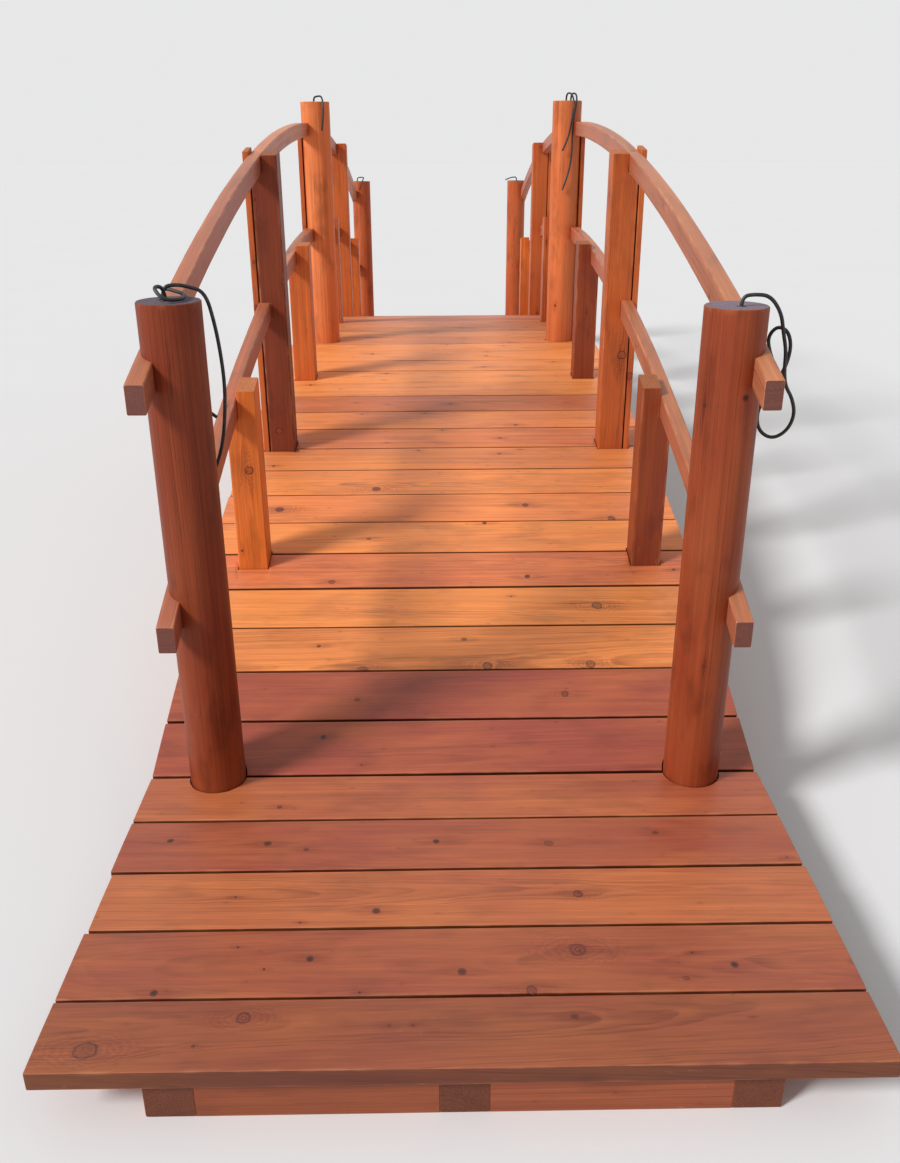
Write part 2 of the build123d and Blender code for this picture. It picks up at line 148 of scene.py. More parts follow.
class Value:
    """What a shader node puts out, in a form that can stand in a sum."""

    def __init__(self, graph, socket):
        self.graph = graph
        self.socket = socket
        self.is_number = socket.type == "VALUE"

    def combine(self, operation, a, b):
        if self.is_number:
            return self.graph.math(operation, a, b)
        if operation == "MULTIPLY" and getattr(b, "is_number", isinstance(b, float)):
            return self.graph.vector("SCALE", a, scale=b)
        return self.graph.vector(operation, a, b)

    def __add__(self, other):
        return self.combine("ADD", self, other)

    def __sub__(self, other):
        return self.combine("SUBTRACT", self, other)

    def __rsub__(self, other):
        return self.combine("SUBTRACT", other, self)

    def __mul__(self, other):
        return self.combine("MULTIPLY", self, other)

    def __truediv__(self, other):
        return self.combine("DIVIDE", self, other)


class Graph:
    """Adds nodes to one node tree and joins their sockets."""

    def __init__(self, tree):
        self.tree = tree

    def put(self, socket, value):
        if isinstance(value, Value):
            self.tree.links.new(value.socket, socket)
        else:
            socket.default_value = value

    def place(self, kind, inputs=(), **settings):
        """A new node with its settings and inputs."""
        made = self.tree.nodes.new(kind)
        for name, value in settings.items():
            setattr(made, name, value)
        for key, value in dict(inputs).items():
            if value is not None:
                self.put(made.inputs[key], value)
        return made

    def node(self, kind, inputs=(), output=0, **settings):
        """One output of a new node."""
        return Value(self, self.place(kind, inputs, **settings).outputs[output])

    def math(self, operation, a, b=None, clamp=False):
        return self.node("ShaderNodeMath", {0: a, 1: b}, operation=operation, use_clamp=clamp)

    def vector(self, operation, a, b=None, scale=None):
        inputs = {0: a, 1: b, "Scale": scale}
        output = "Value" if operation == "LENGTH" else "Vector"
        return self.node("ShaderNodeVectorMath", inputs, output, operation=operation)

    def length(self, vector):
        return self.vector("LENGTH", vector)

    def split(self, vector):
        return [Value(self, part) for part in self.place("ShaderNodeSeparateXYZ", {"Vector": vector}).outputs]

    def join(self, x, y, z):
        return self.node("ShaderNodeCombineXYZ", {"X": x, "Y": y, "Z": z})

    def noise(self, vector, scale=1.0, detail=2.0, roughness=0.5, colour=False):
        inputs = {"Vector": vector, "Scale": scale, "Detail": detail, "Roughness": roughness}
        return self.node("ShaderNodeTexNoise", inputs, "Color" if colour else "Fac")

    def chance(self, value, output="Value"):
        """A number from 0 to 1, or three of them, that depends on the value alone."""
        return self.node("ShaderNodeTexWhiteNoise", {"W": value}, output, noise_dimensions="1D")

    def step(self, value, low, high, to_low=0.0, to_high=1.0):
        """A smooth change from one level to the other while the value goes from low to high."""
        inputs = {"Value": value, "From Min": low, "From Max": high, "To Min": to_low, "To Max": to_high}
        return self.node("ShaderNodeMapRange", inputs, interpolation_type="SMOOTHSTEP")

    def mix(self, factor, a, b, blend="MIX"):
        return self.node("ShaderNodeMix", {0: factor, 6: a, 7: b}, 2, data_type="RGBA", blend_type=blend)

    def attribute(self, name, output="Fac"):
        return self.node("ShaderNodeAttribute", (), output, attribute_name=name)

    def bump(self, height, strength, distance):
        return self.node("ShaderNodeBump", {"Height": height, "Strength": strength, "Distance": distance})


def new_group(name, given_kinds, made_kinds):
    """An empty shader group, with the names of its sockets listed by kind."""
    tree = bpy.data.node_groups.new(name, "ShaderNodeTree")
    for way, kinds in (("INPUT", given_kinds), ("OUTPUT", made_kinds)):
        for kind, labels in kinds.items():
            for label in labels:
                tree.interface.new_socket(label, in_out=way, socket_type="NodeSocket" + kind)
    graph = Graph(tree)
    sockets = tree.nodes.new("NodeGroupInput").outputs
    given = {label: Value(graph, sockets[label]) for labels in given_kinds.values() for label in labels}
    return graph, given, tree.nodes.new("NodeGroupOutput").inputs


def linear(red, green, blue):
    """A colour given as it is seen on a screen, 0 to 255, turned into light values."""
    levels = np.array((red, green, blue)) / 255
    levels = np.where(levels <= 0.04045, levels / 12.92, ((levels + 0.055) / 1.055) ** 2.4)
    return (*levels.tolist(), 1.0)


def stained_wood_group():
    """Stained softwood in a piece's own grain frame, in metres: x along the grain, y and z from the pith.

    Growth rings are circles round the pith whose centre wanders slowly along the grain. Each knot pulls
    the rings round itself, is dark in the middle and has a darker rim. Fibres are noise drawn out along
    the grain, pin knots are the middles of scattered cells, and checks are thin lines of a noise's zero."""
    graph, given, out = new_group(
        "stained wood",
        {
            "Vector": ("Grain", "Knot"),
            "Color": ("Red Stain", "Tan Stain", "End Colour"),
            "Float": (
                "Knot Size", "Tone", "Shade", "Seed", "Edge", "End Grain", "Ring Width", "Ring Contrast",
                "Pin Knots", "Checks", "Wander", "Wear And Highlight", "Blotches",
            ),
        },
        {"Color": ("Colour",), "Float": ("Roughness", "Height")},
    )
    step, mix = graph.step, graph.mix
    grain, knot, knot_size, seed = (given[label] for label in ("Grain", "Knot", "Knot Size", "Seed"))
    place = grain + graph.join(3.1, 1.7, 2.3) * (seed * 10.0)

    def stretched(across, along, detail=2.0, roughness=0.5, colour=False):
        """Noise with its own number of waves a metre across and along the grain."""
        return graph.noise(place * (along, across, across), 1.0, detail, roughness, colour)

    def centred(value, size):
        return (value - 0.5) * size

    # Knots
    own = graph.split(graph.chance(knot_size, "Color"))
    ragged = stretched(90.0, 60.0)
    frayed = stretched(330.0, 200.0)
    away = graph.length(knot * graph.join(step(own[2], 0, 1, 0.80, 1.10), 1.0, 1.0)) / knot_size
    away = away + centred(ragged, 0.50) + centred(frayed, 0.40)
    long_away = graph.length(knot * (0.30, 1.0, 1.0)) / knot_size
    pull = graph.math("POWER", 0.42, long_away * long_away)
    pull = graph.math("ADD", pull, step(long_away, 3.6, 1.0, 0.0, 0.30), clamp=True)
    core = step(away, 1.00, 0.84)
    rim = step(away, 0.74, 0.94) * step(away, 1.16, 0.98)
    near_knot = step(long_away, 4.2, 1.2)
    halo = step(long_away, 2.7, 0.7) * step(stretched(240.0, 14.0), 0.34, 0.66, 0.2, 1.0)
    knot_rings = graph.math("SINE", away * 15.0)
    large = step(knot_size, 0.008, 0.013)
    eye_away = graph.length(knot * (0.5, 1.0, 1.0)) / knot_size + ragged * 1.1
    eye = step(eye_away, 4.2, 1.8) * graph.math("SINE", eye_away * 13.0) * large

    # Growth rings
    middle = (0.5, 0.5, 0.5)
    drift = (stretched(3.0, 0.9, colour=True) - middle) * given["Wander"]
    small = (stretched(16.0, 7.0, colour=True) - middle) * (given["Wander"] * 0.14)
    bent = grain - knot * pull + drift + small
    radius = graph.length(bent * (0.0, 1.0, 1.0))
    count = radius / given["Ring Width"] + graph.noise(graph.join(radius * 38.0, seed, 0.0)) * 4.0
    phase = graph.math("FRACT", count)
    ring_own = graph.chance(graph.math("FLOOR", count) + seed * 37.0)
    late = step(phase, 0.15, 0.86) * step(phase, 1.0, 0.90) * step(ring_own, 0.1, 1.0, 0.15, 1.0)
    late = late * step(stretched(12.0, 1.1), 0.30, 0.68, 0.2, 1.0)
    late = late * step(stretched(160.0, 9.0), 0.30, 0.60, 0.35, 1.0)

    # Fibres, streaks, slow changes and dark blotches
    fibre = stretched(620.0, 7.0, 2.0, 0.6)
    fine = stretched(230.0, 2.4, 3.0, 0.65)
    streak = stretched(60.0, 1.3, 3.0, 0.55)
    cloud = stretched(8.0, 2.6, 3.0, 0.55)
    blotch = step(stretched(13.0, 5.0, 3.0, 0.6), 0.50, 0.72)

    # Stain
    tone = graph.math("ADD", given["Tone"], centred(cloud, 0.9), clamp=True)
    stain = mix(tone, given["Red Stain"], given["Tan Stain"])
    clear = graph.chance(seed)
    late_share = (given["Ring Contrast"] * step(clear, 0, 1, 0.35, 1.15) + near_knot * 0.45) * late
    lightness = centred(streak, 0.85) + centred(fine, 0.85) + centred(fibre, 0.35) + centred(given["Shade"], 2.0)
    lightness = lightness - late_share * 0.85 - blotch * given["Blotches"] + eye * 0.20
    colour = stain * graph.math("POWER", 2.0, lightness)
    colour = mix(late_share * 0.40, colour, (0.72, 0.46, 0.40, 1), "MULTIPLY")

    # Knots over the stain: the heart's rings, its dark or pale middle, its cracks and its rim
    colour = mix(halo * 0.45, colour, linear(116, 42, 28))
    heart = mix(step(knot_rings, -1.0, 1.0), linear(100, 38, 24), linear(146, 64, 38))
    dark = (1.0 - large) * step(own[0], 0.40, 0.70)
    dark = graph.math("MAXIMUM", dark, step(own[0], 0.70, 0.90, 0.0, 0.6))
    heart = mix(step(away, 0.90, 0.40) * dark, heart, linear(38, 14, 12))
    heart = mix(step(own[1], 0.50, 0.75, 0.0, 0.70) * large, heart, stain * 0.62)
    heart = mix(step(stretched(420.0, 150.0, 1.0), 0.60, 0.70), heart, linear(40, 18, 18))
    colour = mix(core * step(own[2], 0.0, 1.0, 0.62, 0.92), colour, heart)
    rim = rim * step(own[1], 0.1, 0.9, 0.35, 0.95) * step(frayed, 0.30, 0.55, 0.35, 1.0)
    colour = mix(rim, colour, linear(58, 22, 16))

    # Pin knots, each with a short dark tail along the grain
    along, side_way, depth = graph.split(place)
    spread = graph.join(along * 0.8, (side_way + depth) * 1.5, 0.0)
    cells = {"Vector": spread, "Scale": 9.0, "Randomness": 1.0}
    cells = graph.place("ShaderNodeTexVoronoi", cells, voronoi_dimensions="2D").outputs
    pin_away = Value(graph, cells["Distance"])
    cell_own = graph.split(Value(graph, cells["Color"]))
    picked = step(cell_own[0] - clear * 0.5, 0.38, 0.44)
    pin = step(pin_away - graph.math("POWER", cell_own[1], 3.0) * 0.018, 0.021, 0.009)
    pin = graph.math("MAXIMUM", pin, step(pin_away, 0.110, 0.0, 0.0, 0.35))
    colour = mix(pin * picked * given["Pin Knots"] * 0.85, colour, linear(60, 22, 18))

    # Checks
    crack = step(graph.math("ABSOLUTE", stretched(60.0, 2.2, 2.0, 0.6) - 0.5), 0.010, 0.002)
    crack = crack * step(stretched(14.0, 2.5, 1.0), 0.60, 0.68) * given["Checks"]
    colour = mix(crack * 0.85, colour, linear(50, 24, 20))

    # Pale scuffs, worn arrises that also serve as painted arris highlights, and end grain
    scuff = step(stretched(70.0, 16.0, 3.0, 0.7), 0.66, 0.74) * step(stretched(5.0, 3.0), 0.50, 0.62)
    colour = mix(scuff * given["Wear And Highlight"], colour, linear(216, 150, 120))
    # Worn arrises and painted highlight: a pale line along the eased edges
    worn_edge_and_highlight = given["Edge"] * step(stretched(60.0, 14.0), 0.42, 0.70)
    colour = mix(worn_edge_and_highlight * given["Wear And Highlight"], colour, linear(224, 150, 100))
    end_ring = mix(late * 0.7, given["End Colour"], (0.40, 0.34, 0.36, 1), "MULTIPLY")
    end_ring = end_ring * step(stretched(420.0, 90.0, 1.0), 0.2, 0.8, 0.72, 1.25)
    end_ring = end_ring * graph.math("POWER", 2.0, centred(given["Shade"], 1.2))
    graph.put(out["Colour"], mix(given["End Grain"], colour, end_ring))

    rough = fibre * 0.16 + 0.40 - late * 0.07 + given["End Grain"] * 0.28
    graph.put(out["Roughness"], graph.math("ADD", rough, centred(cloud, 0.16), clamp=True))
    graph.put(out["Height"], fibre * 0.35 + late * 0.45 + core * 0.5 - rim * 0.7 - crack * 3.0)
    return graph.tree


WOOD = stained_wood_group()


def new_material(name):
    material = bpy.data.materials.new(name)
    material.use_nodes = True
    return material, Graph(material.node_tree), material.node_tree.nodes["Principled BSDF"].inputs


# What each finish feeds to the wood group. Its row ends with how much it shines.
FINISH_LABELS = (
    "Red Stain", "Tan Stain", "End Colour", "Ring Width", "Ring Contrast", "Pin Knots", "Checks", "Wander", "Wear And Highlight",
    "Blotches",
)
FINISHES = {
    "deck boards": ((170, 80, 60), (228, 138, 72), (104, 56, 42), 0.0046, 0.60, 0.5, 0.20, 0.050, 0.20, 0.28, 0.60),
    "round posts": ((170, 68, 38), (218, 122, 70), (112, 98, 108), 0.0031, 0.95, 0.0, 0.5, 0.010, 0.12, 0.55, 0.20),
    "square posts": ((174, 78, 46), (222, 116, 46), (200, 124, 82), 0.0044, 0.90, 0.2, 0.3, 0.024, 0.36, 0.35, 0.28),
    "rails": ((178, 92, 66), (218, 140, 90), (114, 60, 46), 0.0058, 1.15, 0.2, 0.3, 0.018, 0.42, 0.30, 0.72),
    "under timbers": ((134, 66, 44), (172, 94, 58), (112, 64, 46), 0.0046, 0.70, 0.4, 0.6, 0.030, 0.20, 0.35, 0.25),
}


def wood_material(name, facts):
    """A stained timber finish: the wood group, fed by the grain, knots and edge wear that each piece carries; the edge
    wear also stands in as painted arris highlights.

    The darkest faces, mostly board sides darkened as painted shade, shine less."""
    material, graph, surface = new_material(f"stained {name}")
    tone, shade, seed = graph.split(graph.attribute("make", "Vector"))
    given = {"Tone": tone, "Shade": shade, "Seed": seed}
    given.update(zip(FINISH_LABELS, (*(linear(*colour) for colour in facts[:3]), *facts[3:])))
    for label, carried, output in (
        ("Grain", "grain", "Vector"), ("Knot", "knot", "Vector"), ("Knot Size", "knot_size", "Fac"),
        ("Edge", "edge", "Fac"), ("End Grain", "end_grain", "Fac"),
    ):
        given[label] = graph.attribute(carried, output)
    wood = graph.place("ShaderNodeGroup", given, node_tree=WOOD)
    colour, rough, height = (Value(graph, wood.outputs[label]) for label in ("Colour", "Roughness", "Height"))
    graph.put(surface["Base Color"], colour)
    graph.put(surface["Roughness"], rough)
    graph.put(surface["Normal"], graph.bump(height, 0.55, 0.0006))
    # Faces darkened with painted shade shine less
    graph.put(surface["Specular IOR Level"], graph.step(shade, -0.60, 0.05, 0.20 * facts[-1], facts[-1]))
    return material


FINISH = {name: wood_material(name, facts) for name, facts in FINISHES.items()}


def cable_material():
    """Dull black rubber with faint scuffs and pale dust."""
    material, graph, surface = new_material("black cable sheath")
    place = graph.node("ShaderNodeTexCoord", (), "Object")
    dust = graph.noise(place, 60.0, 4.0, 0.6)
    fine = graph.noise(place, 900.0)
    graph.put(surface["Base Color"], graph.mix(graph.step(dust, 0.45, 0.80), linear(24, 24, 27), linear(66, 65, 66)))
    graph.put(surface["Roughness"], graph.step(fine, 0.2, 0.8, 0.38, 0.56))
    graph.put(surface["Normal"], graph.bump(fine, 0.25, 0.0002))
    return material


CABLE_FINISH = cable_material()


# Lamp cables: side and place of the post, length, and corners of the route. Corners are counted from the middle
# of the post's head, to the right, away from the near end and up, in hundredths of the post's radius.

CABLES = {
    "lamp_cable_near_left_long": ("left", "near", 0.537, [
        (-21, 24, 0), (-21, 24, 36), (15, 34, 44), (53, 48, 36), (101, 69, 16), (121, 72, -81), (131, 77, -182),
        (133, 87, -283), (123, 95, -382), (107, 108, -471), (81, 119, -550), (52, 132, -609),
    ]),
    "lamp_cable_near_left_short": ("left", "near", 0.553, [
        (-6, -9, 0), (-6, -9, 43), (-32, -51, 48), (2, -74, 13), (40, -51, 9), (55, -3, 9), (40, 51, 13), (6, 77, 18),
        (-36, 100, 26), (-51, 134, -21), (-32, 146, -95), (-8, 149, -188), (6, 148, -277), (36, 148, -368),
        (86, 146, -403),
    ]),
    "lamp_cable_near_right": ("right", "near", 0.872, [
        (9, -18, 0), (9, -18, 30), (49, -20, 36), (98, -15, 30), (140, -6, -24), (156, 4, -84), (174, 11, -143),
        (178, 18, -206), (188, 22, -257), (220, 31, -302), (239, 45, -361), (224, 60, -418), (182, 74, -448),
        (140, 90, -424), (130, 101, -370), (154, 114, -320), (177, 122, -269), (181, 129, -215), (158, 130, -164),
        (145, 119, -118), (165, 101, -81), (196, 84, -92), (209, 72, -137), (201, 66, -191), (179, 63, -244),
        (156, 69, -293),
    ]),
    "lamp_cable_crown_left": ("left", "crown", 0.243, [
        (-8, 15, 0), (-8, 15, 30), (26, -30, 35), (58, -80, 33), (70, -124, -28), (65, -127, -111), (52, -121, -185),
    ]),
    "lamp_cable_crown_right_long": ("right", "crown", 0.508, [
        (24, 9, 0), (24, 9, 41), (42, -32, 49), (53, -84, 32), (49, -125, -27), (32, -125, -114), (28, -122, -209),
        (30, -122, -313), (21, -122, -412), (0, -124, -498), (-30, -125, -576),
    ]),
    "lamp_cable_crown_right_short": ("right", "crown", 0.345, [
        (-9, 3, 0), (-9, 3, 41), (6, -45, 51), (24, -98, 32), (31, -143, -27), (21, -145, -104), (9, -140, -185),
        (-9, -135, -257), (-39, -129, -320),
    ]),
    "lamp_cable_far_left": ("left", "far", 0.210, [
        (-45, 21, 0), (-45, 21, 39), (-3, 9, 43), (34, -32, 42), (32, -90, 32), (11, -129, -21), (-15, -125, -84),
    ]),
    "lamp_cable_far_right": ("right", "far", 0.108, [
        (3, 0, 0), (3, 0, 36), (-34, -6, 39), (-84, -11, 27), (-125, -18, 9),
    ]),
}


def post_head(side_name, place_name):
    """The middle of a round post's head."""
    place = PLACES[place_name]
    head_z = END_HEAD_Z if place else CROWN_HEAD_Z
    if (side_name, place_name) == ("left", "near"):
        head_z += NEAR_LEFT_POST_EXTRA
    return np.array((SIDES[side_name] * ROUND_POST_X, place * SPRING_Y, head_z))


def route(side_name, place_name, steps):
    return post_head(side_name, place_name) + np.array(steps) * ROUND_POST_RADIUS / 100


def lamp_cable(name, side_name, place_name, length, steps):
    """A smooth line whose control points are the route's corners, with a round section."""
    points = route(side_name, place_name, steps)
    data = bpy.data.curves.new(name, "CURVE")
    data.dimensions = "3D"
    data.resolution_u = 12
    data.bevel_depth = CABLE_DIAMETER / 2
    data.bevel_resolution = 4
    data.use_fill_caps = True
    spline = data.splines.new("NURBS")
    spline.points.add(len(points) - 1)
    spline.points.foreach_set("co", np.column_stack((points, np.ones(len(points)))).ravel())
    spline.order_u = 3
    spline.use_endpoint_u = True
    data.materials.append(CABLE_FINISH)
    cable = add_object(name + "_sheath", data)
    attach(cable, "root")
    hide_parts(name)


for cable_name, cable_facts in CABLES.items():
    lamp_cable(cable_name, *cable_facts)


# Timbers. The flat faces begin an edge lip away from the eased corners. Boards and arched timbers draw in by
# the end ease over the last end step.

EDGE_LIP = 0.005
SHARP_ANGLE = 0.62
EASE = 0.003
SLIGHT_EASE = 0.0015
END_EASE = 0.0012
END_STEP = 0.0015


def arc(radius, centre_z=ARCH_CENTRE_Z):
    """The height of an arc at each distance from the crown."""
    return lambda y: centre_z + np.sqrt(radius**2 - y**2)


def constant(z):
    return lambda y: np.full(np.shape(y), float(z))


TOP_OVER = arc(TOP_RAIL_RADIUS)
TOP_UNDER = arc(TOP_RAIL_RADIUS - RAIL_HEIGHT)
LOWER_OVER = arc(LOWER_RAIL_RADIUS, LOWER_RAIL_CENTRE_Z)
LOWER_UNDER = arc(LOWER_RAIL_RADIUS - RAIL_HEIGHT, LOWER_RAIL_CENTRE_Z)
STRINGER_OVER = arc(STRINGER_TOP_RADIUS)
STRINGER_UNDER = arc(STRINGER_BOTTOM_RADIUS)


def section(low, high, bottom, top, ease_top, ease_bottom, count, low_under=None, high_under=None):
    """Rectangles with eased corners, one for each station: how far across and how far up each point is.

    The upper half runs from the high side over the top to the low side, and the lower half runs back
    under it, point for point, so that the ends close in strips. Each corner is a quarter circle. The
    last array holds how near a point is to an arris."""
    low, high, bottom, top = np.broadcast_arrays(*np.atleast_1d(low, high, bottom, top))
    low_under = low if low_under is None else low_under
    high_under = high if high_under is None else high_under
    middle = (bottom + top) / 2

    def half(level, sign, ease, near_low, near_high):
        corner = [
            (ease * (1 - math.cos(angle)), level - sign * ease * (1 - math.sin(angle)))
            for angle in np.radians((0, 30, 60, 90))
        ]
        sides = (middle + (level - middle) * 0.10, level - sign * (ease + EDGE_LIP))
        columns = [(near_high, height, 0.0) for height in sides]
        columns += [(near_high - back, height, 1.0) for back, height in corner]
        for share in np.linspace(0, 1, count + 2):
            across = near_high - ease - EDGE_LIP + share * (near_low - near_high + 2 * (ease + EDGE_LIP))
            columns.append((across, level, 0.0))
        columns += [(near_low + back, height, 1.0) for back, height in corner[::-1]]
        columns += [(near_low, height, 0.0) for height in sides[::-1]]
        return np.stack([np.stack(np.broadcast_arrays(*column), -1) for column in columns], 1)

    upper = half(top, 1, ease_top, low, high)
    lower = half(bottom, -1, ease_bottom, low_under, high_under)[:, ::-1]
    lower[..., 2] *= 0.6
    return np.moveaxis(np.concatenate((upper, lower), 1), -1, 0)


def tube_faces(shape):
    """The numbers of the points in a tube of closed rings, and the quads between its rings."""
    index = np.arange(math.prod(shape)).reshape(shape)
    following = np.roll(index, -1, 1)
    return index, np.stack((index[:-1], following[:-1], following[1:], index[1:]), -1).reshape(-1, 4)


def shell(points):
    """Quads between the rings of a closed tube, and strips that join each end's points to the points across."""
    index, sides = tube_faces(np.shape(points[0]))
    around = index.shape[1]
    j = np.arange(around // 2 - 1)
    caps = [np.stack((ring[j], ring[around - 1 - j], ring[around - 2 - j], ring[j + 1]), -1) for ring in index[[0, -1]]]
    faces = np.concatenate((sides, caps[0], caps[1][:, ::-1]))
    ends = np.zeros(len(faces))
    ends[len(sides):] = 1
    return faces, ends


def timber(points, own, edge, knots, make, pith, tilt=(0, 0), faces=None, ends=None):
    """One solid of a piece: its surface, facing out, and what the finish reads from it.

    own holds each point in the timber's own frame, along the grain and in its section. The pith runs
    through that section with a slight tilt. Every face takes the knot nearest its middle, and its
    corners hold the way from that knot to them."""
    if faces is None:
        faces, ends = shell(points)

    def from_pith(places):
        return places - (0, *pith) + places[:, :1] * (0, *tilt)

    points, own = np.stack(points, -1).reshape(-1, 3), np.stack(own, -1).reshape(-1, 3)
    grain = from_pith(own)
    a, b, c, d = (points[faces[:, k]] for k in range(4))
    if np.einsum("ij,ij->", a, np.cross(b, c) + np.cross(c, d)) < 0:
        faces = faces[:, ::-1]
    if len(knots):
        places, sizes = from_pith(np.array(knots)[:, :3]), np.array(knots)[:, 3]
    else:
        places, sizes = np.full((1, 3), 90.0), np.array([0.01])
    middle = grain[faces].mean(1)
    gap = np.linalg.norm((middle[:, None] - places[None]) * (0.5, 1, 1), axis=2) / (sizes + 0.008)
    nearest = gap.argmin(1)
    way = grain[faces] - places[nearest][:, None]
    return {
        "points": points, "faces": faces, "grain": grain, "edge": edge.reshape(-1), "end_grain": ends,
        "knot": way.reshape(-1, 3), "knot_size": sizes[nearest], "make": np.tile(make, (len(faces), 1)),
    }


def build(name, solids, slot, node):
    """One piece from its solids, riding on the bridge and standing for its CAD node."""
    counts = np.cumsum([0] + [len(solid["points"]) for solid in solids])
    points = np.concatenate([solid["points"] for solid in solids])
    faces = np.concatenate([solid["faces"] + start for solid, start in zip(solids, counts)])
    mesh = bpy.data.meshes.new(name)
    mesh.vertices.add(len(points))
    mesh.vertices.foreach_set("co", points.ravel())
    mesh.loops.add(faces.size)
    mesh.loops.foreach_set("vertex_index", faces.ravel().astype(np.int32))
    mesh.polygons.add(len(faces))
    mesh.polygons.foreach_set("loop_start", np.arange(0, faces.size, 4, dtype=np.int32))
    mesh.update(calc_edges=True)
    for label, kind, domain, field in (
        ("grain", "FLOAT_VECTOR", "POINT", "vector"),
        ("edge", "FLOAT", "POINT", "value"),
        ("knot", "FLOAT_VECTOR", "CORNER", "vector"),
        ("knot_size", "FLOAT", "FACE", "value"),
        ("make", "FLOAT_VECTOR", "FACE", "vector"),
        ("end_grain", "FLOAT", "FACE", "value"),
    ):
        values = np.concatenate([np.asarray(solid[label], np.float32) for solid in solids])
        mesh.attributes.new(label, kind, domain).data.foreach_set(field, values.ravel())
    mesh.shade_smooth()
    mesh.set_sharp_from_angle(angle=SHARP_ANGLE)
    mesh.materials.append(FINISH[slot.replace("_", " ")])
    piece = add_object(name, mesh)
    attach(piece, "root")
    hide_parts(node)


def wave(rng, places, size, longest):
    """A slow smooth wander along a piece: a sum of three sines with seeded phases."""
    total = np.zeros(len(places))
    for turn in (1, 2, 3):
        total += np.sin(2 * np.pi * turn * places / longest + rng.uniform(0, 6.28)) / turn
    return size * total / 1.8


# Knots on the boards in hand's reach of the near end: across, along the bridge from the board's middle,
# and radius, in millimetres. Level boards are counted from the foot of the arch, arch boards from the crown.
LEVEL_KNOTS = [
    [(-420, -40, 6), (560, 40, 7)],
    [(-650, 19, 8), (-428, 5, 9), (-48, 5, 8), (205, -7, 10), (452, 27, 7), (725, -68, 4), (-339, -19, 6)],
    [(-172, -42, 9), (249, 3, 11), (-325, -73, 3), (-469, 7, 3)],
    [
        (-576, -75, 8), (-294, 8, 8), (0, -32, 9), (228, 22, 18), (129, -81, 11), (524, -23, 8), (424, -56, 5),
        (-439, 42, 3), (-379, -18, 3), (-192, -80, 3), (450, 11, 3),
    ],
    [(-662, -32, 17), (-398, 37, 13), (201, 30, 7), (-91, 15, 4), (-134, 15, 4), (-476, -26, 4), (522, 23, 2)],
]
ARCH_KNOTS = {
    -17: [(-338, 34, 8), (-235, -59, 4)],
    -16: [(301, -5, 11), (-257, -18, 7)],
    -15: [(35, 33, 7), (-249, -86, 12), (97, -77, 14), (384, -74, 14), (-377, 10, 6)],
    -14: [(433, -5, 15), (181, 44, 3)],
    -13: [(-362, -61, 10), (237, -42, 9), (693, -14, 6)],
    -12: [(-260, -11, 7), (118, 80, 8)],
    -11: [(-570, -5, 16), (261, 10, 11), (542, -80, 13)],
    -10: [(-249, -53, 16)],
}

# Stain of the boards: from red to tan, and from dark to light, with painted light in it: the level boards and the two
# arch boards at the foot are darker as painted shade, the others lighter as painted sunlight, and palest near the crown
# as painted sheen. Level boards are in the same order, and arch boards run from the foot of the arch to the crown.
LEVEL_STAINS_AND_SHADE = [(0.32, 0.49), (0.22, 0.44), (0.46, 0.50), (0.28, 0.38), (0.30, 0.24)]
ARCH_STAINS_AND_LIGHT = dict(zip(range(-17, 1), (
    (0.10, 0.46), (0.10, 0.48), (0.88, 0.62), (0.98, 0.65), (0.42, 0.74), (0.90, 0.70), (0.62, 0.76), (0.85, 0.70),
    (0.75, 0.64), (0.50, 0.70), (0.70, 0.70), (0.40, 0.62), (0.92, 0.69), (1.00, 0.73), (0.88, 0.73), (0.93, 0.75),
    (0.97, 0.73), (0.68, 0.62),
)))


def posts_through_deck():
    """Each post's room in the deck: x from and to, its middle along the bridge, half its length and is it round."""
    rooms = []
    half = SQUARE_POST_WIDTH / 2 + NOTCH_CLEARANCE
    radius = ROUND_POST_RADIUS + NOTCH_CLEARANCE
    for side in SIDES.values():
        for place in PLACES.values():
            rooms.append((side * ROUND_POST_X - radius, side * ROUND_POST_X + radius, place * SPRING_Y, radius, 1))
        for end in ENDS.values():
            for y, face in ((TALL_POST_Y, CHEEK_FACE_X), *((y, POST_FACE_X) for y in SHORT_POST_YS)):
                edges = sorted((side * (STRINGER_FACE_X - NOTCH_CLEARANCE), side * (face + NOTCH_CLEARANCE)))
                rooms.append((*edges, end * y, half, 0))
    return rooms


POST_ROOM = posts_through_deck()

# Stations along a board, the narrowest strips that are left beside posts, and a hair's breadth
BOARD_STATIONS = 61
LEAST_STRIP = 0.014
LEAST_STRIP_ROUND = 0.004
LEAST_STRIP_SQUARE = 0.018
HAIR = 1e-5

# Painted shade: the side faces between the boards are darkened, as where shade falls in the gaps, least so on the end
# boards.
GAP_PAINTED_SHADE = 1.0
END_BOARD_PAINTED_SHADE = 0.55


